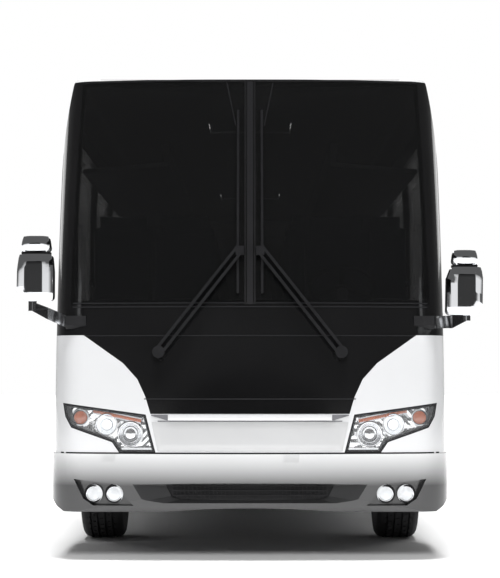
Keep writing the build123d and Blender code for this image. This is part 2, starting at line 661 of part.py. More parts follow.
drive_axle = dead_axle(DRIVE_X, TRACK_Y - TWIN_PITCH - 5, TRACK_Y - 30, True)
tag_axle = dead_axle(TAG_X, TRACK_Y - 140, TRACK_Y + 70, False)
springs = []
for x, low in ((FRONT_AXLE_X, BEAM_HIGH), (DRIVE_X - 260, None), (DRIVE_X + 260, None), (TAG_X + 200, None)):
    for side in (1, -1):
        y = side * RAIL_Y
        if low is None:
            springs.append(rod((x, y, TYRE_R + 60), (x, y, RAIL_LOW), 110))
        else:
            springs.append(rod((x, y, low), (x, y, RAIL_LOW), 110))
seats = []
for x in (DRIVE_X, TAG_X):
    for side in (1, -1):
        y = side * RAIL_Y
        reach = (x - 380, x + 380) if x == DRIVE_X else (x - 80, x + 320)
        seats.append(block(reach, sorted((y - 55, y + 55)), (TYRE_R + 20, TYRE_R + 60)))
nodes["axles"] = join(front_axle) + join(drive_axle, tag_axle, seats)
nodes["air_springs"] = springs


# Wheels


def turned(profile, x, y):
    """Solid turned about a wheel's axis from an outline of radius and width."""
    face = Plane(origin=(x, y, TYRE_R), x_dir=(0, 0, 1), z_dir=(-1, 0, 0)) * make_face(Polyline(*profile, close=True))
    return revolve(face, axis=Axis((x, y, TYRE_R), (0, 1, 0))).solid()


def tyre(x, y):
    """Tyre in flat facets, a facet at the bottom, so that eight of them stay light."""
    half = TYRE_W / 2
    right = [
        (BEAD_R + RUNNING, 112),
        (BEAD_R + 18, 112),
        (BEAD_R + 95, half),
        (TYRE_R - 28, half - 10),
        (TYRE_R, half - 46),
    ]
    ring = right + [(r, -w) for r, w in reversed(right)]

    def corner(step, r, w):
        turn = 2 * pi * (step + 0.5) / TYRE_SIDES
        out = r / cos(pi / TYRE_SIDES)
        return x + out * cos(turn), y + w, TYRE_R + out * sin(turn)

    facets = []
    for i in range(TYRE_SIDES):
        for (r0, w0), (r1, w1) in zip(ring, ring[1:] + ring[:1]):
            places = [corner(i, r0, w0), corner(i, r1, w1), corner(i + 1, r1, w1), corner(i + 1, r0, w0)]
            facets.append(Face(Wire.make_polygon(places)))
    return Solid(Shell(facets))


def rim(x, y, dish, side):
    """Rim with its disc at dish outward of the wheel's centre plane."""
    d = dish * side
    barrel = [(BEAD_R, -115), (BEAD_R, 115), (BEAD_R + 14, 116), (BEAD_R + 14, 124), (BEAD_R - 14, 124)]
    barrel += [(BEAD_R - 20, 100), (BEAD_R - 20, -100), (BEAD_R - 14, -124), (BEAD_R + 14, -124), (BEAD_R + 14, -116)]
    disc = [(SPINDLE_R + RUNNING, d - 12), (BEAD_R - 5, d - 12), (BEAD_R - 5, d + 12), (SPINDLE_R + RUNNING, d + 12)]
    inner, outer = sorted((d - 70 * side, d + 55 * side))
    hub = [(SPINDLE_R + RUNNING, inner), (135, inner), (135, outer), (SPINDLE_R + RUNNING, outer)]
    body = join(turned(barrel, x, y), turned(disc, x, y), turned(hub, x, y))
    holes = []
    for i in range(10):
        a = 2 * pi * i / 10
        hx, hz = x + 222 * cos(a), TYRE_R + 222 * sin(a)
        holes.append(rod((hx, y + d - 20, hz), (hx, y + d + 20, hz), 26))
    return less(body, holes)


for side, sign in (("left", 1), ("right", -1)):
    y = sign * TRACK_Y
    nodes["tyre_front_" + side] = [tyre(FRONT_AXLE_X, y)]
    nodes["rim_front_" + side] = rim(FRONT_AXLE_X, y, 60, sign)
    nodes["tyre_tag_" + side] = [tyre(TAG_X, y)]
    nodes["rim_tag_" + side] = rim(TAG_X, y, 60, sign)
    inner_y = sign * (TRACK_Y - TWIN_PITCH)
    nodes["tyres_drive_" + side] = [tyre(DRIVE_X, y), tyre(DRIVE_X, inner_y)]
    nodes["rims_drive_" + side] = join(rim(DRIVE_X, y, -75, sign)) + join(rim(DRIVE_X, inner_y, 75, sign))

# Dashboard, steering wheel, seats, racks
dash_outline = [
    (FRONT_X - 520, CAB_Z),
    (FRONT_X - 220, CAB_Z + 60),
    (FRONT_X - 260, CAB_Z + 420),
    (FRONT_X - 560, CAB_Z + 520),
    (FRONT_X - 700, CAB_Z + 440),
    (FRONT_X - 640, CAB_Z + 380),
    (FRONT_X - 540, CAB_Z + 300),
]
DRIVER_Y = 640.0
STUB_R = 12.0
WHEEL_C = (FRONT_X - 860.0, DRIVER_Y, CAB_Z + 620)
column_dir = Vector(-sin(radians(35)), 0, cos(radians(35)))
SHELF_X = FRONT_X - 430
shelf_outline = [
    (SHELF_X, CAB_Z + 250),
    (FRONT_X - 220, CAB_Z + 250),
    (FRONT_X - 250, CAB_Z + 420),
    (SHELF_X, CAB_Z + 470),
]
dash = keep([across(dash_outline, STEPS[-1][0], 1150), across(shelf_outline, -1150, STEPS[-1][0])], core)
hub_c = Vector(*WHEEL_C)
base_c = hub_c - column_dir * 560
column = rod(tuple(base_c), tuple(hub_c - column_dir * 30), 40)
pedestal = block((FRONT_X - 700, FRONT_X - 440), (DRIVER_Y - 60, DRIVER_Y + 60), (CAB_Z, CAB_Z + 300))
stub = rod(tuple(hub_c - column_dir * 35), tuple(hub_c + column_dir * 10), STUB_R)
nodes["dashboard"] = join(dash, column, pedestal, stub)
wheel_plane = Plane(origin=WHEEL_C, z_dir=column_dir)
ring = wheel_plane * Torus(225, 15)
spokes = [wheel_plane * Rot(0, 0, a) * Pos(110, 0, 0) * Box(220, 36, 14) for a in (0, 120, 240)]
hub = wheel_plane * Pos(0, 0, -5) * Cylinder(48, 40)
nodes["steering_wheel"] = less(join(ring, hub, spokes), wheel_plane * Cylinder(STUB_R + RUNNING, 200))


def seat(x, y, width, height, floor):
    """Seat facing forward: base, cushion and reclined back as one solid."""
    half = width / 2
    leg = block((x - 150, x + 120), (y - half * 0.6, y + half * 0.6), (floor, floor + 300))
    cushion = [(x - 260, floor + 290), (x + 260, floor + 320), (x + 260, floor + 440), (x - 260, floor + 410)]
    back = [
        (x - 260, floor + 330),
        (x - 150, floor + 420),
        (x - 320, floor + height),
        (x - 420, floor + height),
        (x - 390, floor + 700),
    ]
    return join(leg, across(cushion, y - half, y + half), across(back, y - half, y + half))


rows = seat(FRONT_X - 1330, DRIVER_Y, 500, 1180, CAB_Z)
ROW_PITCH = 790.0
row_x = WINDOW_FRONT - 900
while row_x > REAR_X + 1000:
    for y in (-760, 760):
        rows += seat(row_x, y, 960, 1120, FLOOR_Z)
    row_x -= ROW_PITCH
nodes["seats"] = rows
RACK = [(600, 2760), (1300, 2700), (1300, 2730), (640, 2790), (660, 2930), (600, 2930)]
racks = [along(outline, REAR_X + 500, WINDOW_FRONT - 300) for outline in both(RACK)]
nodes["parcel_racks"] = keep(racks, core)

# Mirrors: a bevelled base on the mask, an arm, a main and an upper housing
MAIN = {
    "left": [(1266, 1598), (1271, 1832), (1300, 1907), (1484, 1907), (1498, 1832), (1493, 1650), (1455, 1598)],
    "right": [(1268, 1690), (1268, 1880), (1278, 1991), (1482, 1991), (1498, 1880), (1500, 1760), (1440, 1690)],
}
UPPER = {
    "left": [(1302, 1920), (1316, 2016), (1452, 2016), (1476, 1920)],
    "right": [(1284, 2004), (1300, 2108), (1458, 2108), (1480, 2004)],
}
POD_X = FRONT_X + 5
POD_DEPTH, UPPER_DEPTH, POD_BEVEL = MIRROR_AHEAD - 29, MIRROR_AHEAD - 49, 24.0
POD_CORNER, POD_POCKET = 28.0, 8.0
BASE_Y, BASE_LOW, BASE_HIGH = (1080.0, 1215.0), 1514.0, 1600.0
ARM_X = FRONT_X - 190
# Arm sections: centre Y, centre X, centre Z, depth, height
ARMS = {
    "left": [(1215, ARM_X, 1557, 66, 80), (1320, ARM_X + 110, 1558, 70, 84), (1400, POD_X + 45, 1600, 66, 76)],
    "right": [(1215, ARM_X, 1565, 66, 80), (1320, ARM_X + 110, 1612, 64, 78), (1408, POD_X + 45, 1655, 56, 60)],
}


def pod(points, sign, depth):
    """Mirror housing, drawn in and then bevelled towards its front, with a pocket for the glass at the back."""
    outline = make_face(Polyline(*[(y * sign, z) for y, z in points], close=True))
    outline = fillet(outline.vertices(), POD_CORNER)
    body = extrude(Plane.YZ.offset(POD_X) * outline, depth, taper=4).solid()
    front = body.faces().sort_by(Axis.X)[-1]
    nose = extrude(front, POD_BEVEL, taper=38).solid()
    pocket = extrude(Plane.YZ.offset(POD_X - 5) * offset(outline, -10), 5 + POD_POCKET).solid()
    return solids_of((body + nose).solid() - pocket)


nodes["mirror_bases"] = []
for side, sign in (("left", 1), ("right", -1)):
    main, upper = pod(MAIN[side], sign, POD_DEPTH), pod(UPPER[side], sign, UPPER_DEPTH)
    sections = []
    for y, x, z, deep, tall in ARMS[side]:
        plane = Plane(origin=(x, y * sign, z), x_dir=(1, 0, 0), z_dir=(0, sign, 0))
        sections.append(plane * Rectangle(deep, tall))
    arm = [loft(pair, ruled=True) for pair in zip(sections, sections[1:])]
    y, x, z, deep, tall = ARMS[side][-1]
    stem_top = min(point[1] for point in MAIN[side]) + 30
    stem = block((x - 24, x + 24), sorted((sign * (y - 24), sign * (y + 24))), (z - tall / 2, stem_top))
    collar_z = (max(point[1] for point in MAIN[side]) - 12, min(point[1] for point in UPPER[side]) + 12)
    collar = block((POD_X + 12, POD_X + 80), sorted((sign * 1325, sign * 1440)), collar_z)
    base_face = [(FRONT_X - 330, BASE_HIGH), (ARM_X + 40, BASE_HIGH), (ARM_X + 40, BASE_LOW + 24),
                 (ARM_X + 10, BASE_LOW), (FRONT_X - 330, BASE_LOW)]
    base = across(base_face, *sorted((BASE_Y[0] * sign, BASE_Y[1] * sign)))
    base = less(base, form(0))
    nodes["mirror_bases"] += base
    nodes["mirror_" + side] = less(join(arm, stem, main, upper, collar), base, form(0))

# Wipers follow the windscreen, each with two rods and an upright blade
WIPERS = [(596, 1362, 67, 2041), (-596, 1362, -67, 2041)]
blades = []
for y0, z0, y1, z1 in WIPERS:
    run = hypot(y1 - y0, z1 - z0)
    ny, nz = -(z1 - z0) / run, (y1 - y0) / run
    for shift in (22, -22):
        strip = [
            (y0 + ny * (shift - 9), z0 + nz * (shift - 9)),
            (y1 + ny * (shift - 9), z1 + nz * (shift - 9)),
            (y1 + ny * (shift + 9), z1 + nz * (shift + 9)),
            (y0 + ny * (shift + 9), z0 + nz * (shift + 9)),
        ]
        blades += keep(skin(-75, -55), along(strip))
    blades += keep(skin(-75, 0), rod((FRONT_X - 300, y0, z0), (FRONT_X + 300, y0, z0), 40))
    side = 1 if y0 > 0 else -1
    blades += keep(skin(-75, -20), block((FRONT_X - 700, FRONT_X + 200), sorted((side * 40, side * 95)), (2000, 2060)))
    blades += keep(skin(-45, -6), block((FRONT_X - 900, FRONT_X + 200), sorted((side * 72, side * 88)), (1747, 3011)))
nodes["wipers"] = join(blades[: len(blades) // 2]) + join(blades[len(blades) // 2 :])

os.makedirs("parts", exist_ok=True)
for name, shape in nodes.items():
    export_step(Compound(solids_of(shape)), f"parts/{name}.step")
print(len(nodes), "nodes")
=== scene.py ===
"""Look of the highway coach: paint, glass, lamps, mirrors, tyres, seats, trim, floor, lights and camera."""

import math
import random

import bpy
from mathutils import Matrix, Vector


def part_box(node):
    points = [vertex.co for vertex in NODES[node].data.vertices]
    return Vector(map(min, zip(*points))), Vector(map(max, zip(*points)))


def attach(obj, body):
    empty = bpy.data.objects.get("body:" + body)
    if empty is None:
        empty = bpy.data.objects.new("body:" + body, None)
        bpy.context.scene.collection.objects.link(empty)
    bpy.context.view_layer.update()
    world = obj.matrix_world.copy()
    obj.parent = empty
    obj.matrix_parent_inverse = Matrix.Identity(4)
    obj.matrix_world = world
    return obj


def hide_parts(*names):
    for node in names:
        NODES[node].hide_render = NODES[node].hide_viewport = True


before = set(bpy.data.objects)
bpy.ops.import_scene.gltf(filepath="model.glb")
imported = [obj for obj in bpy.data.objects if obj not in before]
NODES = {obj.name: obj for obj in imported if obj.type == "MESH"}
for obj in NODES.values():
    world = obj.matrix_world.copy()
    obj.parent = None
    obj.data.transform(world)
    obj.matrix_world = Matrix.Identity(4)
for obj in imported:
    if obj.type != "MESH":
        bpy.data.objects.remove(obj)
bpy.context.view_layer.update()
SHUFFLE = random.Random(7)

# Places read from the frame, in metres
FRONT_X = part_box("front_panel")[1].x
REAR_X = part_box("rear_cap")[0].x
HALF_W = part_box("lower_sides")[1].y
TYRE_LOW, TYRE_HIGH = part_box("tyre_front_left")
TYRE_R = (TYRE_HIGH.z - TYRE_LOW.z) / 2
TRACK_Y = (TYRE_HIGH.y + TYRE_LOW.y) / 2
AXLES = {name: sum((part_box(node)[i].x for i in (0, 1))) / 2 for name, node in
         (("front", "tyre_front_left"), ("drive", "tyres_drive_left"), ("tag", "tyre_tag_left"))}


# Finishes


def new_finish(name):
    finish = bpy.data.materials.new(name)
    finish.use_nodes = True
    tree = finish.node_tree
    return finish, tree, tree.nodes["Principled BSDF"]


def place_on_piece(tree, scale):
    """Mapping of the piece's own coordinates, at so many repeats a metre."""
    coords = tree.nodes.new("ShaderNodeTexCoord")
    mapping = tree.nodes.new("ShaderNodeMapping")
    mapping.inputs["Scale"].default_value = scale if isinstance(scale, tuple) else (scale,) * 3
    tree.links.new(coords.outputs["Object"], mapping.inputs["Vector"])
    return mapping.outputs["Vector"]


def run(tree, source, low, high, start, end):
    """Even run of a value from start to end as source goes from low to high."""
    node = tree.nodes.new("ShaderNodeMapRange")
    for name, value in (("From Min", low), ("From Max", high), ("To Min", start), ("To Max", end)):
        node.inputs[name].default_value = value
    tree.links.new(source, node.inputs["Value"])
    return node.outputs["Result"]


def noise(tree, vector, detail=2.0):
    made = tree.nodes.new("ShaderNodeTexNoise")
    made.inputs["Scale"].default_value = 1.0
    made.inputs["Detail"].default_value = detail
    tree.links.new(vector, made.inputs["Vector"])
    return made.outputs["Fac"]


def mottle(tree, vector, low, high, detail=4.0, start=0.35, end=0.65):
    """Noise turned into a colour that runs from low to high."""
    fac = noise(tree, vector, detail)
    ramp = tree.nodes.new("ShaderNodeValToRGB")
    ramp.color_ramp.elements[0].position = start
    ramp.color_ramp.elements[1].position = end
    ramp.color_ramp.elements[0].color = (*low, 1)
    ramp.color_ramp.elements[1].color = (*high, 1)
    tree.links.new(fac, ramp.inputs["Fac"])
    return ramp.outputs["Color"], fac


def grain_bump(tree, shader, height, strength, distance=0.001):
    bump = tree.nodes.new("ShaderNodeBump")
    bump.inputs["Strength"].default_value = strength
    bump.inputs["Distance"].default_value = distance
    tree.links.new(height, bump.inputs["Height"])
    tree.links.new(bump.outputs["Normal"], shader.inputs["Normal"])


def shade(colour, by):
    return tuple(min(1.0, c * by) for c in colour)


def finish(name, colour, roughness, metallic=0.0, coat=0.0, vary=0.9, scale=6.0, grain=0.0, grain_scale=400.0,
           worn=0.06, **sockets):
    """A finish with slow mottling of colour and roughness, and a fine grain where it has one."""
    made, tree, shader = new_finish(name)
    tint, fac = mottle(tree, place_on_piece(tree, scale), shade(colour, vary), colour)
    tree.links.new(tint, shader.inputs["Base Color"])
    spread = run(tree, fac, 0.0, 1.0, max(0.0, roughness - worn), min(1.0, roughness + worn))
    tree.links.new(spread, shader.inputs["Roughness"])
    shader.inputs["Metallic"].default_value = metallic
    shader.inputs["Coat Weight"].default_value = coat
    shader.inputs["Coat Roughness"].default_value = 0.04
    for socket, value in sockets.items():
        shader.inputs[socket.replace("_", " ")].default_value = value
    if grain:
        grain_bump(tree, shader, noise(tree, place_on_piece(tree, grain_scale)), grain)
    return made


def body_paint(name, colour, shade_top=0.66, shade_low=0.32, most=0.75, shade_colour=(0.10, 0.10, 0.10), metallic=0.0):
    """Coach paint under a clear coat, with painted shade that darkens it more and more downward from a given
    height.
    """
    made, tree, shader = new_finish(name)
    tint, fac = mottle(tree, place_on_piece(tree, 1.3), shade(colour, 0.965), colour)
    coords = tree.nodes.new("ShaderNodeTexCoord")
    split = tree.nodes.new("ShaderNodeSeparateXYZ")
    tree.links.new(coords.outputs["Object"], split.inputs["Vector"])
    # painted shade: below the top height the paint is mixed more and more toward a dark colour
    shade_film = run(tree, split.outputs["Z"], shade_top, shade_low, 0.0, most)
    mixed = tree.nodes.new("ShaderNodeMix")
    mixed.data_type = "RGBA"
    mixed.inputs["B"].default_value = (*shade_colour, 1)
    tree.links.new(shade_film, mixed.inputs["Factor"])
    tree.links.new(tint, mixed.inputs["A"])
    tree.links.new(mixed.outputs["Result"], shader.inputs["Base Color"])
    tree.links.new(run(tree, fac, 0.0, 1.0, 0.28, 0.38), shader.inputs["Roughness"])
    shader.inputs["Metallic"].default_value = metallic
    shader.inputs["Coat Weight"].default_value = 0.8
    shader.inputs["Coat Roughness"].default_value = 0.05
    grain_bump(tree, shader, noise(tree, place_on_piece(tree, 30)), 0.03, 0.002)
    return made


def tinted_glass(name, colour, held_back, level=0.5):
    """Tinted pane: so much of the light is held back at each face, with faint smears in its gloss."""
    made, tree, shader = new_finish(name)
    shader.inputs["Base Color"].default_value = (*colour, 1)
    shader.inputs["Alpha"].default_value = held_back
    shader.inputs["IOR"].default_value = 1.5
    shader.inputs["Specular IOR Level"].default_value = level
    _, fac = mottle(tree, place_on_piece(tree, 2.2), (0, 0, 0), (1, 1, 1))
    tree.links.new(run(tree, fac, 0.0, 1.0, 0.015, 0.05), shader.inputs["Roughness"])
    return made


def ribbed_lens(name, colour, glow=0.0, ribs=260.0):
    """Moulded lamp lens with fine upright flutes."""
    made, tree, shader = new_finish(name)
    shader.inputs["Roughness"].default_value = 0.12
    shader.inputs["Coat Weight"].default_value = 1.0
    shader.inputs["Transmission Weight"].default_value = 0.25
    shader.inputs["Emission Color"].default_value = (*colour, 1)
    shader.inputs["Emission Strength"].default_value = glow
    wave = tree.nodes.new("ShaderNodeTexWave")
    wave.bands_direction = "Y"
    wave.inputs["Scale"].default_value = 1.0
    tree.links.new(place_on_piece(tree, ribs), wave.inputs["Vector"])
    tint, _ = mottle(tree, place_on_piece(tree, 20), shade(colour, 0.8), colour)
    tree.links.new(tint, shader.inputs["Base Color"])
    grain_bump(tree, shader, wave.outputs["Fac"], 0.35, 0.002)
    return made


def seat_cloth():
    """Woven moquette: a dark ground with a small coloured figure."""
    made, tree, shader = new_finish("seat_cloth")
    cells = tree.nodes.new("ShaderNodeTexVoronoi")
    cells.inputs["Scale"].default_value = 1.0
    tree.links.new(place_on_piece(tree, 38), cells.inputs["Vector"])
    ramp = tree.nodes.new("ShaderNodeValToRGB")
    ramp.color_ramp.elements[0].position = 0.28
    ramp.color_ramp.elements[0].color = (0.060, 0.070, 0.105, 1)
    ramp.color_ramp.elements[1].position = 0.36
    ramp.color_ramp.elements[1].color = (0.022, 0.026, 0.042, 1)
    tree.links.new(cells.outputs["Distance"], ramp.inputs["Fac"])
    tree.links.new(ramp.outputs["Color"], shader.inputs["Base Color"])
    shader.inputs["Roughness"].default_value = 0.9
    shader.inputs["Sheen Weight"].default_value = 0.4
    grain_bump(tree, shader, noise(tree, place_on_piece(tree, 900)), 0.4, 0.001)
    return made


SILVER = body_paint("silver_paint", (0.64, 0.645, 0.655), metallic=0.25)
# painted shade: the bumper's paint turns near black toward its foot, for the shade on its lower face that
# curves under
SHADED_BUMPER_PAINT = body_paint("bumper_paint_shaded", (0.62, 0.625, 0.63), 0.70, 0.49, 0.97, (0.012, 0.012, 0.013),
                          metallic=0.25)
# painted shade: a darker copy of the silver paint for the centre panel, which faces the light squarely and
# would read brighter
SHADED_PANEL_PAINT = body_paint("panel_paint_shaded_copy", (0.47, 0.473, 0.478), metallic=0.15)
WHITE = body_paint("white_paint", (0.60, 0.605, 0.61))
BLACK = finish("black_gloss", (0.0055, 0.0055, 0.0058), 0.10, vary=0.8, scale=2.0, worn=0.03,
               Specular_IOR_Level=0.35)
SMOKED = tinted_glass("smoked_glass", (0.0042, 0.0043, 0.0044), 0.70, 0.30)
DARK_GLASS = tinted_glass("side_smoked_glass", (0.004, 0.0042, 0.0045), 0.62, 0.45)
CLEAR = tinted_glass("clear_cover", (0.80, 0.82, 0.84), 0.045)
CHROME = finish("chrome", (0.80, 0.81, 0.83), 0.05, 1.0, vary=0.95, scale=5.0, worn=0.02)
SILVERED = finish("silvered_reflector", (0.88, 0.89, 0.90), 0.16, 1.0, vary=0.9, scale=60.0, worn=0.06)
MIRROR = finish("mirror_glass", (0.86, 0.88, 0.90), 0.02, 1.0, vary=0.98, scale=3.0, worn=0.01)
RUBBER = finish("rubber_seal", (0.008, 0.008, 0.0085), 0.62, vary=0.7, scale=25.0, grain=0.2,
                Specular_IOR_Level=0.25)
TYRE = finish("tyre_rubber", (0.020, 0.020, 0.021), 0.78, vary=0.6, scale=18.0, grain=0.5, grain_scale=220.0,
              Specular_IOR_Level=0.3)
MOULDED = finish("moulded_black", (0.010, 0.010, 0.011), 0.5, vary=0.75, scale=14.0, grain=0.25,
                 grain_scale=600.0,
                 Specular_IOR_Level=0.25)
GREY_TRIM = finish("grey_moulding", (0.13, 0.13, 0.14), 0.6, vary=0.85, scale=9.0, grain=0.3,
                   grain_scale=500.0)
SEAM_GREY = finish("seam_grey", (0.011, 0.011, 0.012), 0.5, vary=0.9, scale=9.0, grain=0.1,
                   Specular_IOR_Level=0.3)
ALLOY = finish("polished_alloy", (0.74, 0.75, 0.77), 0.24, 1.0, vary=0.88, scale=12.0, worn=0.09, grain=0.05)
STEEL = finish("painted_steel", (0.045, 0.046, 0.05), 0.55, vary=0.7, scale=8.0, grain=0.15,
               grain_scale=120.0)
CAST = finish("cast_metal", (0.09, 0.085, 0.08), 0.7, 0.6, vary=0.6, scale=14.0, grain=0.6, grain_scale=160.0)
ZINC = finish("zinc_bolt", (0.55, 0.55, 0.53), 0.35, 1.0, vary=0.75, scale=80.0)
VINYL = finish("floor_vinyl", (0.10, 0.10, 0.105), 0.55, vary=0.75, scale=30.0, grain=0.2, grain_scale=300.0)
AMBER = ribbed_lens("amber_lens", (0.38, 0.080, 0.014), 0.06)
RED = ribbed_lens("red_lens", (0.42, 0.012, 0.012), 0.05)
FROST = ribbed_lens("frosted_lens", (0.80, 0.82, 0.84), 0.12, ribs=420.0)
LIT = ribbed_lens("lit_lens", (0.92, 0.94, 0.96), 0.50, ribs=380.0)
CLOTH = seat_cloth()
AIR_BAG = finish("bellows_rubber", (0.03, 0.03, 0.03), 0.7, vary=0.6, scale=30.0, grain=0.4)

LUGGAGE_DOORS = [f"luggage_door_{side}_{i}" for side in ("left", "right") for i in (1, 2, 3)]
WHEEL_ENDS = ("_front_left", "_front_right", "_tag_left", "_tag_right", "s_drive_left", "s_drive_right")
NODE_FINISH = {
    WHITE: ["roof", "roof_hatch_front", "roof_hatch_rear", "rear_cap"],
    SILVER: ["lower_sides", "front_panel", "engine_lid", "service_door_left", "service_door_right"]
    + LUGGAGE_DOORS,
    SHADED_BUMPER_PAINT: ["front_bumper"],
    BLACK: ["window_bands", "windscreen_frame", "front_mask", "entrance_door"],
    SMOKED: ["windscreen"],
    DARK_GLASS: ["side_glass", "entrance_door_glass"],
    CLEAR: ["headlamp_covers"],
    SILVERED: ["headlamp_bowls"],
    MOULDED: ["lamp_housings", "mirror_bases", "wipers", "steering_wheel", "arch_liners"],
    FROST: ["fog_lamps"],
    RED: ["tail_lamps"],
    VINYL: ["cab_floor", "passenger_floor"],
    STEEL: ["frame", "tie_rod", "luggage_floor"],
    CAST: ["engine", "axles", "knuckle_left", "knuckle_right"],
    AIR_BAG: ["air_springs"],
    GREY_TRIM: ["dashboard", "parcel_racks", "bulkheads"],
    CHROME: ["mirror_left", "mirror_right"],
    CLOTH: ["seats"],
    TYRE: ["tyre" + end for end in WHEEL_ENDS],
    ALLOY: ["rim" + end for end in WHEEL_ENDS],
}
for made, names in NODE_FINISH.items():
    for node in names:
        slots = NODES[node].data.materials
        slots.clear()
        slots.append(made)


# Shaping by hand


def deselect():
    if bpy.context.object and bpy.context.object.mode != "OBJECT":
        bpy.ops.object.mode_set(mode="OBJECT")
    bpy.ops.object.select_all(action="DESELECT")


def only(piece):
    deselect()
    piece.select_set(True)
    bpy.context.view_layer.objects.active = piece


def open_mesh(piece):
    """Edit mode with the whole of one piece picked."""
    only(piece)
    bpy.ops.object.mode_set(mode="EDIT")
    bpy.ops.mesh.select_all(action="SELECT")


def done():
    bpy.ops.object.mode_set(mode="OBJECT")


def drop(*pieces):
    for piece in pieces:
        bpy.data.objects.remove(piece, do_unlink=True)


def add(operator, **settings):
    deselect()
    operator(**settings)
    return bpy.context.object


def freeze(piece):
    """The piece's place goes into its mesh, and its object stays at the origin."""
    only(piece)
    bpy.ops.object.transform_apply(location=True, rotation=True, scale=True)
    return piece


def modify(piece, kind, **settings):
    only(piece)
    modifier = piece.modifiers.new(kind.lower(), kind)
    for key, value in settings.items():
        setattr(modifier, key, value)
    bpy.ops.object.modifier_apply(modifier=modifier.name)
    return piece


def outward(piece):
    open_mesh(piece)
    bpy.ops.mesh.remove_doubles(threshold=0.00001)
    bpy.ops.mesh.normals_make_consistent(inside=False)
    done()
    return piece


def smooth(piece, angle=35.0):
    only(piece)
    bpy.ops.object.shade_smooth_by_angle(angle=math.radians(angle))
    return piece


def settle(piece, name, made, body="coach", node=None):
    piece.name = name
    piece.data.name = name
    piece.data.materials.clear()
    piece.data.materials.append(made)
    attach(piece, body)
    if node:
        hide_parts(node)
    return piece


def join_pieces(parts):
    """One piece of several, in the first one's name."""
    deselect()
    for part in parts:
        part.select_set(True)
    bpy.context.view_layer.objects.active = parts[0]
    if len(parts) > 1:
        bpy.ops.object.join()
    return parts[0]


def twin(piece, shift=(0, 0, 0), flip=False):
    """Copy of a piece with its own mesh, moved, and mirrored across the coach where flip is set."""
    other = piece.copy()
    other.data = piece.data.copy()
    bpy.context.scene.collection.objects.link(other)
    if flip:
        other.data.transform(Matrix.Scale(-1, 4, (0, 1, 0)))
        other.data.flip_normals()
    other.data.transform(Matrix.Translation(shift))
    return other


def choose(piece, wanted):
    """Edit mode with only the faces picked that wanted(face) says."""
    only(piece)
    bpy.ops.object.mode_set(mode="EDIT")
    bpy.ops.mesh.select_mode(type="FACE")
    bpy.ops.mesh.select_all(action="DESELECT")
    bpy.ops.object.mode_set(mode="OBJECT")
    for face in piece.data.polygons:
        face.select = bool(wanted(face))
    bpy.ops.object.mode_set(mode="EDIT")


def bar(name, low, high, made, body="coach", edge=0.004, segments=2):
    """Bar between two corners, its edges rounded."""
    size = [b - a for a, b in zip(low, high)]
    piece = add(bpy.ops.mesh.primitive_cube_add, size=1, location=[(a + b) / 2 for a, b in zip(low, high)])
    piece.scale = size
    freeze(piece)
    edge = min(edge, min(size) * 0.45)
    modify(piece, "BEVEL", width=edge, segments=segments, limit_method="ANGLE")
    return settle(smooth(piece), name, made, body) if name else smooth(piece)


def pin(name, start, end, radius, made, body="coach", sides=20, edge=0.002):
    """Round bar from start to end."""
    start, end = Vector(start), Vector(end)
    reach = end - start
    piece = add(bpy.ops.mesh.primitive_cylinder_add, vertices=sides, radius=radius, depth=reach.length)
    piece.rotation_euler = reach.to_track_quat("Z", "Y").to_euler()
    piece.location = (start + end) / 2
    freeze(piece)
    if edge:
        modify(piece, "BEVEL", width=min(edge, radius * 0.4), segments=2, limit_method="ANGLE",
               angle_limit=math.radians(50))
    return settle(smooth(piece), name, made, body) if name else smooth(piece)


def ring(name, centre, axis, radius, thick, made, body="coach", sides=40, flat=1.0):
    """Round bezel about an axis, flattened along it."""
    piece = add(bpy.ops.mesh.primitive_torus_add, major_radius=radius, minor_radius=thick,
                major_segments=sides,
                minor_segments=8)
    piece.scale = (1, 1, flat)
    freeze(piece)
    piece.rotation_euler = Vector(axis).to_track_quat("Z", "Y").to_euler()
    piece.location = centre
    freeze(piece)
    return settle(smooth(piece, 60), name, made, body) if name else smooth(piece, 60)


def copy_skin(name, nodes):
    """One joined copy of CAD nodes, only used to lay trim on their surface."""
    deselect()
    copies = []
    for node in nodes:
        copy = NODES[node].copy()
        copy.data = NODES[node].data.copy()
        bpy.context.scene.collection.objects.link(copy)
        copy.parent = None
        copy.matrix_world = Matrix.Identity(4)
        copies.append(copy)
    for copy in copies:
        copy.select_set(True)
    bpy.context.view_layer.objects.active = copies[0]
    bpy.ops.object.join()
    copies[0].name = name
    return copies[0]


FRONT_SKIN = copy_skin("front_skin",
                       ["windscreen", "windscreen_frame", "front_mask", "front_panel", "front_bumper",
                                      "headlamp_covers", "fog_lamps", "lamp_housings", "roof"])
SIDE_NODES = ["lower_sides", "window_bands", "side_glass", "roof", "rear_cap", "windscreen_frame",
              "front_bumper",
              "front_panel"]
SIDE_SKIN = copy_skin("side_skin", SIDE_NODES + ["entrance_door", "entrance_door_glass", "service_door_left",
                                                 "service_door_right"]
                      + LUGGAGE_DOORS)
REAR_SKIN = copy_skin("rear_skin", ["rear_cap", "engine_lid", "tail_lamps"])
MIRROR_SKIN = copy_skin("mirror_skin", ["mirror_left", "mirror_right"])
SKINS = {
    "front": (FRONT_SKIN, 0, -1, (1, 2)),
    "mirror": (MIRROR_SKIN, 0, -1, (1, 2)),
    "rear": (REAR_SKIN, 0, 1, (1, 2)),
    "left": (SIDE_SKIN, 1, -1, (0, 2)),
    "right": (SIDE_SKIN, 1, 1, (0, 2)),
}
FAR = {"front": FRONT_X + 1.0, "mirror": FRONT_X + 1.0, "rear": REAR_X - 1.0, "left": HALF_W + 1.0,
       "right": -HALF_W - 1.0}


def surface_at(face, a, b):
    """Point of the coach's surface seen square on at (a, b) of that face."""
    skin, axis, way, plane = SKINS[face]
    start, aim = [0.0, 0.0, 0.0], [0.0, 0.0, 0.0]
    start[plane[0]], start[plane[1]], start[axis] = a, b, FAR[face]
    aim[axis] = way
    hit, place, _, _ = skin.ray_cast(Vector(start), Vector(aim))
    return place if hit else Vector(start) + Vector(aim)


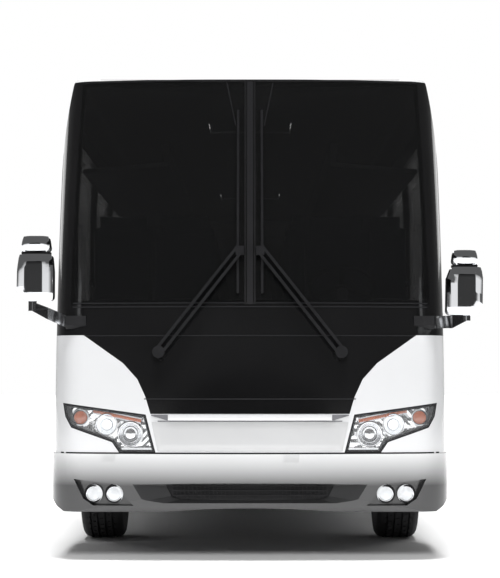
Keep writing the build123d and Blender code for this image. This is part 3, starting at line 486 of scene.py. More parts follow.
def inset(points, by):
    """Outline drawn in by a distance all round."""
    area = sum(a[0] * b[1] - b[0] * a[1] for a, b in zip(points, points[1:] + points[:1]))
    turn = math.copysign(1.0, area)
    drawn = []
    for before, here, after in zip(points[-1:] + points[:-1], points, points[1:] + points[:1]):
        one = (Vector(here) - Vector(before)).normalized()
        two = (Vector(after) - Vector(here)).normalized()
        normals = [Vector((-way.y, way.x)) * turn for way in (one, two)]
        mean = (normals[0] + normals[1]).normalized()
        drawn.append(tuple(Vector(here) + mean * by / max(0.4, mean.dot(normals[0]))))
    return drawn


def flat_piece(face, outline, hole=None):
    """Flat piece of an outline out in front of a face, or the band between it and a hole."""
    _, axis, _, plane = SKINS[face]
    parts = []
    for points in [outline] + ([hole] if hole else []):
        part = add(bpy.ops.mesh.primitive_circle_add, vertices=len(points), radius=1,
                   fill_type="NOTHING" if hole else "NGON")
        for vertex, (a, b) in zip(part.data.vertices, points):
            place = [0.0, 0.0, 0.0]
            place[plane[0]], place[plane[1]], place[axis] = a, b, FAR[face]
            vertex.co = place
        freeze(part)
        parts.append(part)
    piece = join_pieces(parts)
    if hole:
        only(piece)
        bpy.ops.object.mode_set(mode="EDIT")
        bpy.ops.mesh.select_mode(type="EDGE")
        bpy.ops.mesh.select_all(action="SELECT")
        bpy.ops.mesh.bridge_edge_loops()
        done()
    return piece


def drape(name, face, outline, made, lift=0.002, thick=0.004, body="coach", step=0.06, edge=0.0, hole=None,
          facets=0.0):
    """Thin trim of an outline, laid on the coach's surface and given a thickness outward."""
    skin, axis, way, plane = SKINS[face]
    piece = flat_piece(face, outline, hole)
    only(piece)
    bpy.ops.object.mode_set(mode="EDIT")
    for k in (0, 1):
        values = [p[k] for p in outline]
        cuts = int((max(values) - min(values)) / step)
        for i in range(1, cuts + 1):
            at, normal = [0.0, 0.0, 0.0], [0.0, 0.0, 0.0]
            at[plane[k]] = min(values) + (max(values) - min(values)) * i / (cuts + 1)
            normal[plane[k]] = 1.0
            bpy.ops.mesh.select_all(action="SELECT")
            bpy.ops.mesh.bisect(plane_co=at, plane_no=normal)
    bpy.ops.mesh.select_all(action="SELECT")
    bpy.ops.mesh.quads_convert_to_tris()
    done()
    settings = {"wrap_method": "PROJECT", "wrap_mode": "ABOVE_SURFACE", "target": skin, "offset": lift,
                "use_negative_direction": way < 0, "use_positive_direction": way > 0, "project_limit": 2.5}
    settings["use_project_" + "xyz"[axis]] = True
    modify(piece, "SHRINKWRAP", **settings)
    if facets:
        for vertex in piece.data.vertices:
            vertex.co[axis] -= way * SHUFFLE.uniform(-facets, facets)
    open_mesh(piece)
    bpy.ops.mesh.normals_make_consistent(inside=False)
    done()
    if sum(face.normal[axis] * face.area for face in piece.data.polygons) * way > 0:
        piece.data.flip_normals()
    modify(piece, "SOLIDIFY", thickness=thick, offset=1.0)
    if edge:
        modify(piece, "BEVEL", width=edge, segments=2, limit_method="ANGLE", angle_limit=math.radians(50))
    return settle(piece if facets else smooth(piece, 40), name, made, body)


def line_outline(points, width):
    """Outline of a line of one width along points."""
    left, right = [], []
    for i, point in enumerate(points):
        before = Vector(points[max(i - 1, 0)])
        after = Vector(points[min(i + 1, len(points) - 1)])
        way = (after - before).normalized()
        side = Vector((-way.y, way.x)) * (width / 2)
        left.append(tuple(Vector(point) + side))
        right.append(tuple(Vector(point) - side))
    return left + right[::-1]


def rectangle(left, right, low, high):
    return [(left, low), (right, low), (right, high), (left, high)]


def both_sides(points):
    return [("left", points), ("right", [(-a, b) for a, b in points][::-1])]


# Windscreen and mask

SCREEN_LOW, SCREEN_TOP = 1.675, 3.225


def across(name, half, z, width, made, lift, thick, rise=0.0):
    """Line of trim across the front, level but for a small rise in its middle."""
    drape(name, "front", line_outline([(-half, z), (0, z + rise), (half, z)], width), made, lift, thick)


def windscreen_trim():
    for side, y in (("left", 0.031), ("right", -0.031)):
        drape(f"screen_post_seal_{side}", "front", line_outline([(y, SCREEN_LOW), (y, SCREEN_TOP)], 0.014),
              RUBBER,
              0.001, 0.004)
        # dark V lines drawn as thin strips on the upper windscreen
        drape(f"screen_v_line_{side}", "front", line_outline([(y * 5.1, 3.215), (y * 3.1, 2.90)], 0.007),
              SEAM_GREY,
              0.001, 0.002)
    drape("screen_post_strip", "front", line_outline([(0, SCREEN_LOW), (0, SCREEN_TOP)], 0.040), SEAM_GREY,
          0.002,
          0.004)
    across("screen_seal_lower", 1.17, 1.683, 0.007, SEAM_GREY, 0.001, 0.003)
    across("screen_seal_cowl", 1.17, 1.658, 0.007, SEAM_GREY, 0.001, 0.003)
    across("screen_seal_top", 1.15, 3.234, 0.014, RUBBER, 0.001, 0.004)
    # painted shade: a dark strip where the white roof turns over its front edge
    across("roof_edge_painted_shade", 1.04, 3.250, 0.024, SEAM_GREY, 0.0005, 0.002, rise=0.003)
    across("mask_seam", 1.09, 1.4685, 0.006, SEAM_GREY, 0.0005, 0.0015)
    # painted shade: a dark line along the crease in the mask
    across("mask_crease_painted_shade", 0.69, 1.055, 0.007, SEAM_GREY, 0.0005, 0.0015)


LEDGE_HALF, LEDGE_LOW, LEDGE_HIGH = 0.533, 0.915, 0.953


def ledge_and_panels():
    drape("panel_ledge", "front", rectangle(-LEDGE_HALF, LEDGE_HALF, LEDGE_LOW, LEDGE_HIGH), SILVER, 0.002,
          0.014,
          edge=0.004)
    for side, points in both_sides([(LEDGE_HALF + 0.002, LEDGE_LOW), (0.643, 0.947), (0.643, LEDGE_HIGH),
                                    (LEDGE_HALF + 0.002, LEDGE_HIGH)]):
        drape(f"panel_ledge_end_{side}", "front", points, GREY_TRIM, 0.001, 0.010, edge=0.002)
    across("panel_ledge_shadow", 0.60, 0.911, 0.006, GREY_TRIM, 0.0005, 0.002)
    drape("centre_panel", "front", [(-0.600, 0.716), (0.600, 0.716), (0.640, 0.905), (-0.640, 0.905)],
          SHADED_PANEL_PAINT, 0.001,
          0.003, edge=0.001)
    across("bumper_seam", 1.24, 0.7035, 0.009, RUBBER, 0.0015, 0.0015)


# Front lamps

HEADLAMP = [(1.230, 1.028), (0.679, 0.954), (0.613, 0.704), (0.851, 0.704), (0.899, 0.773), (1.171, 0.867),
            (1.213, 0.939)]
BOWLS = [("turn", 1.111, 0.932, 0.047), ("beam", 0.939, 0.886, 0.067), ("projector", 0.781, 0.827, 0.076)]
BOWL_LIP = 0.030
FOG_LAMPS = [(1.020, 0.438), (0.885, 0.438)]


def dome(centre, radius, rise, rings=10):
    """Lens that bulges forward: the front half of a flattened ball, closed behind."""
    piece = add(bpy.ops.mesh.primitive_uv_sphere_add, segments=32, ring_count=rings * 2, radius=radius,
                rotation=(0, math.radians(90), 0))
    freeze(piece)
    open_mesh(piece)
    bpy.ops.mesh.bisect(plane_co=(0, 0, 0), plane_no=(1, 0, 0), clear_inner=True, use_fill=True)
    done()
    piece.scale = (rise / radius, 1, 1)
    piece.location = centre
    return smooth(freeze(piece), 60)


def dish(centre, back_radius, radius, deep):
    """Open reflector bowl that faces forward, with a wall."""
    piece = add(bpy.ops.mesh.primitive_cone_add, vertices=48, radius1=back_radius, radius2=radius, depth=deep,
                rotation=(0, math.radians(90), 0), location=(centre[0] - deep / 2, centre[1], centre[2]),
                end_fill_type="NOTHING")
    freeze(piece)
    open_mesh(piece)
    bpy.ops.mesh.subdivide(number_cuts=2)
    done()
    middle, reach = centre[0] - deep / 2, deep / 2
    for vertex in piece.data.vertices:
        share = (vertex.co.x - middle) / reach
        swell = 1 + 0.12 * (1 - share * share)
        vertex.co.y = centre[1] + (vertex.co.y - centre[1]) * swell
        vertex.co.z = centre[2] + (vertex.co.z - centre[2]) * swell
    modify(piece, "SOLIDIFY", thickness=0.002, offset=-1.0)
    return smooth(piece, 50)


def headlamps():
    for side, outline in both_sides(HEADLAMP):
        sign = 1 if side == "left" else -1
        panel = drape(f"headlamp_reflector_{side}", "front", inset(outline, 0.021), SILVERED, -0.052, 0.003,
                      step=0.024, facets=0.004)
        cutters = []
        for _, y, z, radius in BOWLS:
            cutters.append(add(bpy.ops.mesh.primitive_cylinder_add, vertices=32, radius=radius + 0.003,
                               depth=0.4,
                               location=(FRONT_X, y * sign, z), rotation=(0, math.radians(90), 0)))
        cutter = freeze(join_pieces(cutters))
        modify(panel, "BOOLEAN", operation="DIFFERENCE", object=cutter, solver="EXACT", use_self=True)
        drop(cutter)
        for kind, y, z, radius in BOWLS:
            x = surface_at("front", y * sign, z).x - BOWL_LIP
            place = (x, y * sign, z)
            if kind == "turn":
                settle(dome((x - 0.014, y * sign, z), radius * 0.96, 0.012), f"turn_lens_{side}", AMBER)
                ring(f"turn_rim_{side}", (x - 0.010, y * sign, z), (1, 0, 0), radius * 1.02, 0.005, MOULDED)
            elif kind == "beam":
                settle(dish(place, radius * 0.42, radius * 0.97, 0.055), f"beam_dish_{side}", SILVERED)
                settle(dome((x - 0.040, y * sign, z), radius * 0.52, 0.026), f"beam_lens_{side}", LIT)
                ring(f"beam_ring_{side}", place, (1, 0, 0), radius * 1.02, 0.006, CHROME)
            else:
                settle(dish(place, radius * 0.60, radius * 0.97, 0.045), f"projector_dish_{side}", SILVERED)
                settle(dome((x - 0.040, y * sign, z), radius * 0.66, 0.036), f"projector_eye_{side}",
                       SILVERED)
                ring(f"projector_ring_{side}", place, (1, 0, 0), radius * 1.02, 0.008, CHROME)
                ring(f"projector_inner_ring_{side}", (x - 0.030, y * sign, z), (1, 0, 0), radius * 0.74,
                     0.005, CHROME)
                hood = dome((x - 0.034, y * sign, z), radius * 0.90, 0.006)
                open_mesh(hood)
                bpy.ops.mesh.bisect(plane_co=(x, y, z - radius * 0.30), plane_no=(0, 0, 1), clear_outer=True,
                                    use_fill=True)
                done()
                settle(hood, f"projector_shade_{side}", MOULDED)
        strip = [(1.031 * sign, 0.978), (0.712 * sign, 0.912)]
        drape(f"turn_strip_seat_{side}", "front", line_outline(strip, 0.036), CHROME, -0.036, 0.004)
        drape(f"turn_strip_{side}", "front", line_outline(strip, 0.022), AMBER, -0.032, 0.006, edge=0.002)
        sill = [(0.632 * sign, 0.732), (0.842 * sign, 0.732)]
        drape(f"headlamp_sill_{side}", "front", line_outline(sill, 0.012), CHROME, -0.030, 0.004)


def fog_lamps():
    for side, sign in (("left", 1), ("right", -1)):
        for i, (y, z) in enumerate(FOG_LAMPS):
            x = surface_at("front", y * sign, z).x
            ring(f"fog_rim_{side}_{i + 1}", (x, y * sign, z), (1, 0, 0), 0.0545, 0.0055, MOULDED)
            ring(f"fog_ring_{side}_{i + 1}", (x + 0.001, y * sign, z), (1, 0, 0), 0.046, 0.004, CHROME)
            settle(dome((x, y * sign, z), 0.043, 0.009), f"fog_lens_{side}_{i + 1}", FROST)


def intake_grille():
    """Upright and level slats behind the mouth of the bumper."""
    back, front, low, high = FRONT_X - 0.058, FRONT_X - 0.047, 0.404, 0.490
    slats = []
    for i in range(-19, 20):
        y = i * 0.0265
        foot = low + max(0.0, (abs(y) - 0.46) * 0.5)
        slats.append(bar(None, (back, y - 0.0025, foot), (front, y + 0.0025, high), MOULDED, edge=0.001,
                         segments=1))
    for z in (0.430, 0.462):
        slats.append(bar(None, (back + 0.002, -0.50, z - 0.003), (front + 0.002, 0.50, z + 0.003), MOULDED,
                         edge=0.001, segments=1))
    settle(join_pieces(slats), "intake_grille", MOULDED)


# Mirrors

MAIN_GLASS = {
    "left": [(1.266, 1.598), (1.271, 1.832), (1.300, 1.907), (1.484, 1.907), (1.498, 1.832), (1.493, 1.650),
             (1.455, 1.598)],
    "right": [(1.268, 1.690), (1.268, 1.880), (1.278, 1.991), (1.482, 1.991), (1.498, 1.880), (1.500, 1.760),
              (1.440, 1.690)],
}
UPPER_GLASS = {
    "left": [(1.302, 1.920), (1.316, 2.016), (1.452, 2.016), (1.476, 1.920)],
    "right": [(1.284, 2.004), (1.300, 2.108), (1.458, 2.108), (1.480, 2.004)],
}
POD_X = FRONT_X + 0.005
CROWN, CROWN_FALL = 0.020, 0.017


def crown(name, points):
    """Chrome shell in front of a mirror pod that turns away toward the coach."""
    shell = drape(name, "mirror", points, CHROME, 0.0005, CROWN, step=0.02)
    reach = [abs(y) for y, z in points]
    middle, half = (max(reach) + min(reach)) / 2, (max(reach) - min(reach)) / 2
    vertices = list(shell.data.vertices)
    layers = vertices[:len(vertices) // 2], vertices[len(vertices) // 2:]
    for vertex in max(layers, key=lambda layer: sum(v.co.x for v in layer)):
        inboard = (middle - abs(vertex.co.y)) / half
        vertex.co.x -= CROWN_FALL * max(0.0, (inboard - 0.15) / 0.85) ** 2


def mirror_details():
    for side, sign in (("left", 1), ("right", -1)):
        for name, outlines in (("main", MAIN_GLASS), ("upper", UPPER_GLASS)):
            points = inset([(y * sign, z) for y, z in outlines[side]], 0.014)
            glass = add(bpy.ops.mesh.primitive_circle_add, vertices=len(points), radius=1, fill_type="NGON")
            for vertex, (y, z) in zip(glass.data.vertices, points):
                vertex.co = (POD_X + 0.003, y, z)
            freeze(glass)
            modify(glass, "SOLIDIFY", thickness=0.003, offset=0.0)
            outward(glass)
            modify(glass, "BEVEL", width=0.018, segments=4, affect="VERTICES")
            settle(smooth(glass), f"mirror_glass_{name}_{side}", MIRROR)
            crown(f"mirror_crown_{name}_{side}", points)
        top = max(z for y, z in MAIN_GLASS[side])
        inner, outer = (1.306, 1.468) if side == "left" else (1.290, 1.474)
        low, high = sorted((inner * sign, outer * sign))
        bar(f"mirror_groove_{side}", (POD_X + 0.010, low, top - 0.002), (POD_X + 0.112, high, top + 0.016),
            MOULDED,
            edge=0.004)
        edge_line = [(y + 0.011, z) for y, z in MAIN_GLASS[side][:3]]
        edge_line[0] = (edge_line[0][0], edge_line[0][1] + 0.045)
        edge_line[2] = (edge_line[2][0] - 0.006, edge_line[2][1] - 0.035)
        line = [(y * sign, z) for y, z in edge_line]
        drape(f"mirror_edge_band_{side}", "mirror", line_outline(line, 0.014), MOULDED, 0.0005, 0.002,
              step=0.03)


# Sides and rear

DOOR_REAR = FRONT_X - 1.25
PILLAR_X = FRONT_X - 0.43
ARCHES = [("front", AXLES["front"], 0.650), ("drive", AXLES["drive"], 0.600), ("tag", AXLES["tag"], 0.600)]
MARKER_X, MARKER_Z = (3.90, 1.60, -0.70, -2.55), (1.345, 1.375)
TRIM_REAR, BELT_RAIL_Z, DRIP_RAIL_Z = -6.40, 1.612, 2.955
WINDOW_LOW, WINDOW_HIGH = 1.72, 2.90
WINDOW_FRONT, WINDOW_REAR, WINDOW_COUNT, WINDOW_POST = FRONT_X - 1.38, REAR_X + 0.90, 7, 0.060


def arch_lips():
    for side, sign in (("left", 1), ("right", -1)):
        for name, x, radius in ARCHES:
            lip = add(bpy.ops.mesh.primitive_circle_add, vertices=10, radius=0.010, fill_type="NOTHING",
                      location=(x + radius - 0.004, sign * (HALF_W - 0.012), TYRE_R))
            lip.scale = (1, 1.7, 1)
            freeze(lip)
            open_mesh(lip)
            bpy.ops.mesh.spin(steps=56, angle=math.pi, center=(x, 0, TYRE_R), axis=(0, 1, 0))
            done()
            outward(lip)
            settle(smooth(lip, 60), f"arch_lip_{name}_{side}", RUBBER)


def side_trim():
    for side, end in (("left", PILLAR_X - 0.03), ("right", DOOR_REAR - 0.02)):
        rail = [(TRIM_REAR, BELT_RAIL_Z), (end, BELT_RAIL_Z)]
        drape(f"belt_moulding_{side}", side, line_outline(rail, 0.034), ALLOY, 0.001, 0.007, step=0.8,
              edge=0.002)
        seal = [(TRIM_REAR, DRIP_RAIL_Z), (end - 0.55, DRIP_RAIL_Z)]
        drape(f"drip_rail_{side}", side, line_outline(seal, 0.022), MOULDED, 0.001, 0.008, step=0.8,
              edge=0.002)
        pitch = (WINDOW_FRONT - WINDOW_REAR + WINDOW_POST) / WINDOW_COUNT
        seals = []
        for i in range(WINDOW_COUNT):
            low = WINDOW_REAR + i * pitch
            high = low + pitch - WINDOW_POST
            outline = rectangle(low, high, WINDOW_LOW, WINDOW_HIGH)
            seals.append(drape(f"window_seal_{side}_{i + 1}", side, inset(outline, -0.006), RUBBER, 0.0005,
                               0.003,
                               step=0.45, hole=inset(outline, 0.010)))
        for i, x in enumerate(MARKER_X):
            box = rectangle(x - 0.055, x + 0.055, *MARKER_Z)
            drape(f"side_marker_base_{side}_{i + 1}", side, inset(box, -0.007), MOULDED, 0.0, 0.005,
                  edge=0.001)
            drape(f"side_marker_{side}_{i + 1}", side, box, AMBER if i < 3 else RED, 0.001, 0.014, edge=0.004)


def handle(name, side, x, z, length, body, upright=False):
    """Bow handle on a plate, with a lock beside it."""
    sign = 1 if side == "left" else -1
    half, deep = length / 2, 0.026
    y = surface_at(side, x, z).y
    ways = [(0, 0, half), (0, 0, -half)] if upright else [(half, 0, 0), (-half, 0, 0)]
    ends = [Vector((x, y, z)) + Vector(way) * 0.82 for way in ways]
    parts = []
    for end in ends:
        parts.append(pin(None, end - Vector((0, sign * 0.004, 0)), end + Vector((0, sign * deep, 0)), 0.008,
                         CHROME))
    tips = [Vector((x, y + sign * deep, z)) + Vector(way) for way in ways]
    parts.append(pin(None, tips[0], tips[1], 0.010, CHROME))
    settle(join_pieces(parts), name, CHROME, body)
    wide = (0.035, half + 0.02) if upright else (half + 0.02, 0.035)
    plate = rectangle(x - wide[0], x + wide[0], z - wide[1], z + wide[1])
    drape(f"{name}_plate", side, plate, MOULDED, 0.0, 0.003, body, edge=0.001)
    lock = (x, z - half - 0.055) if upright else (x + half + 0.06, z)
    spot = surface_at(side, *lock)
    settle(pin(None, spot - Vector((0, sign * 0.004, 0)), spot + Vector((0, sign * 0.005, 0)), 0.013, CHROME),
           f"{name}_lock", CHROME, body)


def door_hardware():
    for side in ("left", "right"):
        for i in (1, 2, 3):
            node = f"luggage_door_{side}_{i}"
            low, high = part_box(node)
            handle(f"luggage_handle_{side}_{i}", side, (low.x + high.x) / 2, low.z + 0.085, 0.17, node)
        node = f"service_door_{side}"
        low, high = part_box(node)
        handle(f"service_handle_{side}", side, low.x + 0.075, (low.z + high.z) / 2, 0.16, node, upright=True)
    handle("entrance_handle", "right", DOOR_REAR + 0.040, 1.20, 0.20, "entrance_door", upright=True)


TAIL = [("stop", 1.240, 1.460), ("turn", 1.480, 1.620), ("reverse", 1.640, 1.760)]
TAIL_Y = (1.010, 1.180)


def rear_details():
    for side, sign in (("left", 1), ("right", -1)):
        for kind, low, high in TAIL:
            y0, y1 = sorted((TAIL_Y[0] * sign, TAIL_Y[1] * sign))
            box = rectangle(y0, y1, low, high)
            made = {"stop": RED, "turn": AMBER, "reverse": FROST}[kind]
            drape(f"tail_{kind}_lens_{side}", "rear", inset(box, 0.012), made, 0.0, 0.010, edge=0.004,
                  step=0.05)
            drape(f"tail_{kind}_bezel_{side}", "rear", inset(box, -0.004), CHROME, 0.0, 0.006, step=0.08,
                  edge=0.001,
                  hole=inset(box, 0.010))
        spot = [(1.02 * sign, 0.415), (0.90 * sign, 0.415)]
        # painted glow: the red lens finish glows faintly, and this reflector is no lamp
        drape(f"rear_reflector_{side}", "rear", line_outline(spot, 0.045), RED, 0.0, 0.008, edge=0.003)
        drape(f"rear_reflector_rim_{side}", "rear",
              line_outline([(1.027 * sign, 0.415), (0.893 * sign, 0.415)],
                                                                 0.059), MOULDED, 0.0, 0.004, edge=0.001)
    drape("high_stop_lamp", "rear", rectangle(-0.20, 0.20, 2.80, 2.835), RED, 0.0, 0.014, edge=0.004)
    drape("high_stop_lamp_base", "rear", rectangle(-0.215, 0.215, 2.785, 2.85), MOULDED, 0.0, 0.006,
          edge=0.002)
    drape("rear_bumper_seam", "rear", line_outline([(-1.10, 0.520), (1.10, 0.520)], 0.008), RUBBER, 0.0005,
          0.002)
    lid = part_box("engine_lid")
    z = lid[0].z + 0.08
    x = surface_at("rear", 0, z).x
    catch = [pin(None, (x + 0.004, y, z), (x - 0.026, y, z), 0.008, CHROME) for y in (-0.075, 0.075)]
    catch.append(pin(None, (x - 0.026, -0.095, z), (x - 0.026, 0.095, z), 0.010, CHROME))
    settle(join_pieces(catch), "engine_lid_handle", CHROME, "engine_lid")


# Wheels

TREAD_STEPS = 96
NUT_COUNT, NUT_CIRCLE = 10, 0.168
RIB_EDGES = (0.0215, 0.0325, 0.0725, 0.0835)
WALL = [(0.2925, 0.1095), (0.300, 0.118), (0.309, 0.1195), (0.330, 0.134), (0.345, 0.143), (0.349, 0.1465),
        (0.355, 0.1455), (0.385, 0.1530), (0.415, 0.1550), (0.450, 0.1535), (0.485, 0.1490), (0.492, 0.1500),
        (0.497, 0.1470), (0.510, 0.1390), (0.520, 0.1270), (0.5245, 0.1140)]


def tyre_at(x, y):
    """Tyre turned from its section, with wall ribs and four grooves, then pockets set in the tread."""
    inner, low_rib, high_rib, shoulder = RIB_EDGES
    crown, groove = TYRE_R - 0.0005, TYRE_R - 0.0145
    half = WALL + [(crown - 0.003, shoulder + 0.010), (crown - 0.0015, shoulder + 0.001), (groove, shoulder),
                   (groove, high_rib + 0.001), (crown - 0.0008, high_rib), (crown - 0.0003, low_rib + 0.001),
                   (groove, low_rib), (groove, inner + 0.001), (crown, inner)]
    section = half + [(r, -w) for r, w in reversed(half)]
    tyre = add(bpy.ops.mesh.primitive_circle_add, vertices=len(section), radius=1, fill_type="NOTHING")
    for vertex, (r, w) in zip(tyre.data.vertices, section):
        vertex.co = (x, y + w, TYRE_R + r)
    freeze(tyre)
    open_mesh(tyre)
    bpy.ops.mesh.spin(steps=TREAD_STEPS, angle=2 * math.pi, center=(x, y, TYRE_R), axis=(0, 1, 0))
    done()
    outward(tyre)

    def sipe(face):
        away = face.center - Vector((x, y, TYRE_R))
        radius = math.hypot(away.x, away.z)
        turn = round(math.atan2(away.z, away.x) / (2 * math.pi) * TREAD_STEPS - 0.5)
        band = 0 if abs(away.y) < inner else 1 if abs(away.y) < high_rib else 2
        on_crown = radius > TYRE_R - 0.006 and abs(away.y) < 0.112
        return on_crown and (turn + band) % 2 == 0 and face.area > 0.0003

    choose(tyre, sipe)
    bpy.ops.mesh.inset(thickness=0.009, depth=0.0, use_individual=True)
    bpy.ops.mesh.extrude_region_shrink_fatten(TRANSFORM_OT_shrink_fatten={"value": -0.006})
    done()
    return smooth(tyre, 28)


def cross_pin(sides, radius, depth, place):
    """Round piece that lies across the coach."""
    return freeze(add(bpy.ops.mesh.primitive_cylinder_add, vertices=sides, radius=radius, depth=depth,
                      location=place, rotation=(math.radians(90), 0, 0)))


def wheel_trim(x, y, disc, hub):
    """Nuts round the disc and a turned hub cap, for a left wheel."""
    parts = []
    for i in range(NUT_COUNT):
        turn = 2 * math.pi * (i + 0.5) / NUT_COUNT
        place = (x + NUT_CIRCLE * math.cos(turn), y + disc + 0.012, TYRE_R + NUT_CIRCLE * math.sin(turn))
        nut = cross_pin(6, 0.0175, 0.026, place)
        modify(nut, "BEVEL", width=0.002, segments=1, limit_method="ANGLE", angle_limit=math.radians(50))
        collar = cross_pin(16, 0.022, 0.006, (place[0], y + disc + 0.002, place[2]))
        parts += [nut, collar, cross_pin(12, 0.009, 0.044, (place[0], y + disc + 0.016, place[2]))]
    nuts = smooth(join_pieces(parts), 30)
    cap = cross_pin(48, 0.098, 0.026, (x, y + hub + 0.010, TYRE_R))
    modify(cap, "BEVEL", width=0.006, segments=3, limit_method="ANGLE", angle_limit=math.radians(50))
    choose(cap, lambda face: face.normal.y > 0.95 and face.area > 0.01)
    bpy.ops.mesh.inset(thickness=0.022)
    bpy.ops.mesh.extrude_region_shrink_fatten(TRANSFORM_OT_shrink_fatten={"value": -0.006})
    bpy.ops.mesh.inset(thickness=0.030)
    bpy.ops.mesh.extrude_region_shrink_fatten(TRANSFORM_OT_shrink_fatten={"value": 0.004})
    done()
    smooth(cap, 40)
    return nuts, cap


WHEELS = [
    ("front_left", "wheel_front_left", AXLES["front"], 1, (0.0,), 0.072, 0.115),
    ("front_right", "wheel_front_right", AXLES["front"], -1, (0.0,), 0.072, 0.115),
    ("drive_left", "wheels_drive_left", AXLES["drive"], 1, (0.0, -0.350), -0.063, -0.020),
    ("drive_right", "wheels_drive_right", AXLES["drive"], -1, (0.0, -0.350), -0.063, -0.020),
    ("tag_left", "wheel_tag_left", AXLES["tag"], 1, (0.0,), 0.072, 0.115),
    ("tag_right", "wheel_tag_right", AXLES["tag"], -1, (0.0,), 0.072, 0.115),
]


def wheels():
    pattern = tyre_at(0, 0)
    trims = {}
    for name, body, x, sign, offsets, disc, hub in WHEELS:
        tyres = [twin(pattern, (x, sign * (TRACK_Y + step), 0)) for step in offsets]
        node = f"tyres_{name}" if len(offsets) > 1 else f"tyre_{name}"
        settle(join_pieces(tyres), f"treaded_{node}", TYRE, body, node)
        if disc not in trims:
            trims[disc] = wheel_trim(0, 0, disc, hub)
        for part, title, made in zip(trims[disc], ("wheel_nuts", "hub_cap"), (ZINC, CHROME)):
            settle(twin(part, (x, sign * TRACK_Y, 0), flip=sign < 0), f"{title}_{name}", made, body)
    drop(pattern, *(part for pair in trims.values() for part in pair))


# Seats

ROW_FRONT, ROW_PITCH, ROW_Y = FRONT_X - 2.28, 0.79, 0.76
FLOOR_Z, CAB_Z = 1.35, 1.20
DRIVER = (FRONT_X - 1.33, 0.64)
PAD_CUTS = 9


def pad(length, width, deep, crown):
    """Closed pad lying flat: crowned faces, sides drawn in between its corners, two sewn channels across."""
    piece = add(bpy.ops.mesh.primitive_cube_add, size=1)
    piece.scale = (length, width, deep)
    freeze(piece)
    open_mesh(piece)
    bpy.ops.mesh.subdivide(number_cuts=PAD_CUTS)
    done()
    for vertex in piece.data.vertices:
        u, w, t = vertex.co.x / length * 2, vertex.co.y / width * 2, vertex.co.z / deep * 2
        full = (1 - u ** 4) * (1 - w ** 4)
        sewn = 0.010 * (min(abs(u - 0.4), abs(u + 0.4)) < 0.05) * (1 - w ** 4)
        vertex.co.z = t * (deep / 2 * (0.58 + 0.42 * full) - (crown if t < 0 else 0) * full - sewn * (t > 0))
        vertex.co.x *= 1 - 0.035 * (1 - w * w) - 0.05 * t * t * (1 - w * w)
        vertex.co.y *= 1 - 0.030 * (1 - u * u) - 0.05 * t * t
    return smooth(piece, 80)


def tilt(piece, angle, place):
    """Leans a pad back by an angle about the coach's cross axis and puts it in place."""
    piece.rotation_euler = (0, math.radians(angle), 0)
    piece.location = place
    return freeze(piece)


def seat_parts(width, height, floor, pads):
    """One seat at x 0, y 0: its pads, and its rigid frame."""
    soft, hard = [], []
    for y in pads:
        pad_w = width / len(pads) - 0.012
        soft.append(tilt(pad(0.50, pad_w, 0.135, 0.012), -3.3, (0.0, y, floor + 0.372)))
        soft.append(tilt(pad(0.60, pad_w, 0.105, 0.010), -104, (-0.262, y, floor + height - 0.405)))
        soft.append(tilt(pad(0.17, pad_w * 0.82, 0.085, 0.006), -102, (-0.338, y, floor + height - 0.095)))
    half = width / 2
    for y in (-half * 0.55, half * 0.55):
        hard.append(bar(None, (-0.14, y - 0.02, floor), (0.11, y + 0.02, floor + 0.30), STEEL, edge=0.006))
        hard.append(bar(None, (-0.20, y - 0.03, floor), (0.17, y + 0.03, floor + 0.014), STEEL, edge=0.004))
    hard.append(bar(None, (-0.24, -half * 0.94, floor + 0.285), (0.24, half * 0.94, floor + 0.310), STEEL,
                    edge=0.006))
    shell = bar(None, (-0.30, -half * 0.96, -0.012), (0.34, half * 0.96, 0.012), GREY_TRIM, edge=0.010)
    hard.append(tilt(shell, -104.5, (-0.325, 0, floor + height - 0.42)))
    for y in (-half + 0.012, half - 0.012):
        hard.append(bar(None, (-0.22, y - 0.012, floor + 0.30), (-0.18, y + 0.012, floor + 0.56), STEEL,
                        edge=0.005))
        hard.append(bar(None, (-0.23, y - 0.012, floor + 0.545), (0.10, y + 0.012, floor + 0.585), MOULDED,
                        edge=0.012))
    return join_pieces(soft), join_pieces(hard)


def seats():
    soft, hard = seat_parts(0.96, 1.12, FLOOR_Z, (-0.242, 0.242))
    x, count, frames = ROW_FRONT, 0, []
    while x > REAR_X + 1.0:
        for y in (-ROW_Y, ROW_Y):
            count += 1
            cover = twin(soft, (x, y, 0))
            settle(cover, f"seat_pads_{count}", CLOTH, "coach")
            frames.append(twin(hard, (x, y, 0)))
        x -= ROW_PITCH
    drop(soft, hard)
    soft, hard = seat_parts(0.50, 1.18, CAB_Z, (0.0,))
    driver = settle(twin(soft, (*DRIVER, 0)), "driver_seat_pads", CLOTH)
    frames.append(twin(hard, (*DRIVER, 0)))
    drop(soft, hard)
    settle(join_pieces(frames), "seat_frames", GREY_TRIM, "coach", "seats")


# Light and camera


def floor():
    slab = add(bpy.ops.mesh.primitive_plane_add, size=160, location=(0, 0, 0))
    made, tree, shader = new_finish("studio_floor")
    tint, _ = mottle(tree, place_on_piece(tree, 0.6), (0.95, 0.95, 0.95), (0.97, 0.97, 0.97))
    tree.links.new(tint, shader.inputs["Base Color"])
    shader.inputs["Roughness"].default_value = 0.9
    shader.inputs["Specular IOR Level"].default_value = 0.1
    slab.name = "studio_floor"
    slab.data.materials.append(made)


def soft_light(name, place, aim, width, height, power, shines=True):
    data = bpy.data.lights.new(name, "AREA")
    data.shape, data.size, data.size_y, data.energy = "RECTANGLE", width, height, power
    lamp = bpy.data.objects.new(name, data)
    bpy.context.scene.collection.objects.link(lamp)
    lamp.location = place
    lamp.rotation_euler = (Vector(aim) - Vector(place)).to_track_quat("-Z", "Y").to_euler()
    lamp.visible_glossy = shines


def combine(tree, operation, *sources):
    node = tree.nodes.new("ShaderNodeMath")
    node.operation = operation
    for socket, source in zip(node.inputs, sources):
        tree.links.new(source, socket)
    return node.outputs["Value"]


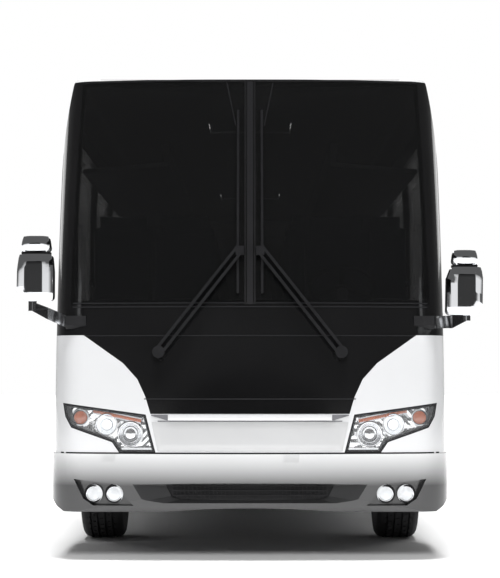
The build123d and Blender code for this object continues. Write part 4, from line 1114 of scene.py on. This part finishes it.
def studio():
    """Pale room, dim ahead of the coach so that its black glass stays black, bright at eye level."""
    world = bpy.data.worlds.new("studio")
    bpy.context.scene.world = world
    world.use_nodes = True
    tree = world.node_tree
    backdrop = tree.nodes["Background"]
    coords = tree.nodes.new("ShaderNodeTexCoord")
    split = tree.nodes.new("ShaderNodeSeparateXYZ")
    tree.links.new(coords.outputs["Generated"], split.inputs["Vector"])
    room = run(tree, split.outputs["X"], -0.8, -0.1, 0.40, 0.12)
    height = combine(tree, "ABSOLUTE", split.outputs["Z"])
    eye_level = run(tree, height, 0.05, 0.14, 0.95, 0.0)
    ahead = run(tree, split.outputs["X"], 0.972, 0.980, 1.0, 0.05)
    forward = combine(tree, "MULTIPLY", ahead, run(tree, split.outputs["X"], 0.1, 0.5, 0.0, 1.0))
    lit = combine(tree, "MULTIPLY", ahead, room)
    lit = combine(tree, "MAXIMUM", lit, combine(tree, "MULTIPLY", eye_level, forward))
    path = tree.nodes.new("ShaderNodeLightPath")
    strength = combine(tree, "MAXIMUM", lit, path.outputs["Is Camera Ray"])
    backdrop.inputs["Color"].default_value = (1, 1, 1, 1)
    tree.links.new(strength, backdrop.inputs["Strength"])
    sky = bpy.data.lights.new("soft_sky", "SUN")
    sky.energy, sky.angle = 3.7, math.radians(22)
    overhead = bpy.data.objects.new("soft_sky", sky)
    bpy.context.scene.collection.objects.link(overhead)
    overhead.rotation_euler = (0, math.radians(12), 0)
    overhead.visible_glossy = False
    soft_light("front_high", (FRONT_X + 9, 0, 6.0), (FRONT_X, 0, 1.0), 4, 3, 760, shines=False)
    for name, y in (("side_left", 10), ("side_right", -10)):
        soft_light(name, (-6, y, 6), (-4, 0, 1.5), 9, 5, 300)
    soft_light("rear_high", (REAR_X - 8, 0, 6), (REAR_X, 0, 1.5), 7, 4, 330)
    bpy.context.scene.view_settings.view_transform = "Standard"


CAMERA_BACK = 12.0
CAMERA_Z = 1.23
AIM_Z = 1.77
LENS_MM = 115.0


def camera():
    data = bpy.data.cameras.new("front_view")
    data.lens, data.sensor_width, data.clip_end = LENS_MM, 36.0, 300.0
    view = bpy.data.objects.new("front_view", data)
    bpy.context.scene.collection.objects.link(view)
    view.location = (FRONT_X + CAMERA_BACK, 0, CAMERA_Z)
    aim = Vector((FRONT_X, 0, AIM_Z)) - Vector(view.location)
    view.rotation_euler = aim.to_track_quat("-Z", "Y").to_euler()
    bpy.context.scene.camera = view


windscreen_trim()
ledge_and_panels()
headlamps()
fog_lamps()
intake_grille()
mirror_details()
arch_lips()
side_trim()
door_hardware()
rear_details()
wheels()
seats()
drop(FRONT_SKIN, SIDE_SKIN, REAR_SKIN, MIRROR_SKIN)
floor()
studio()
camera()
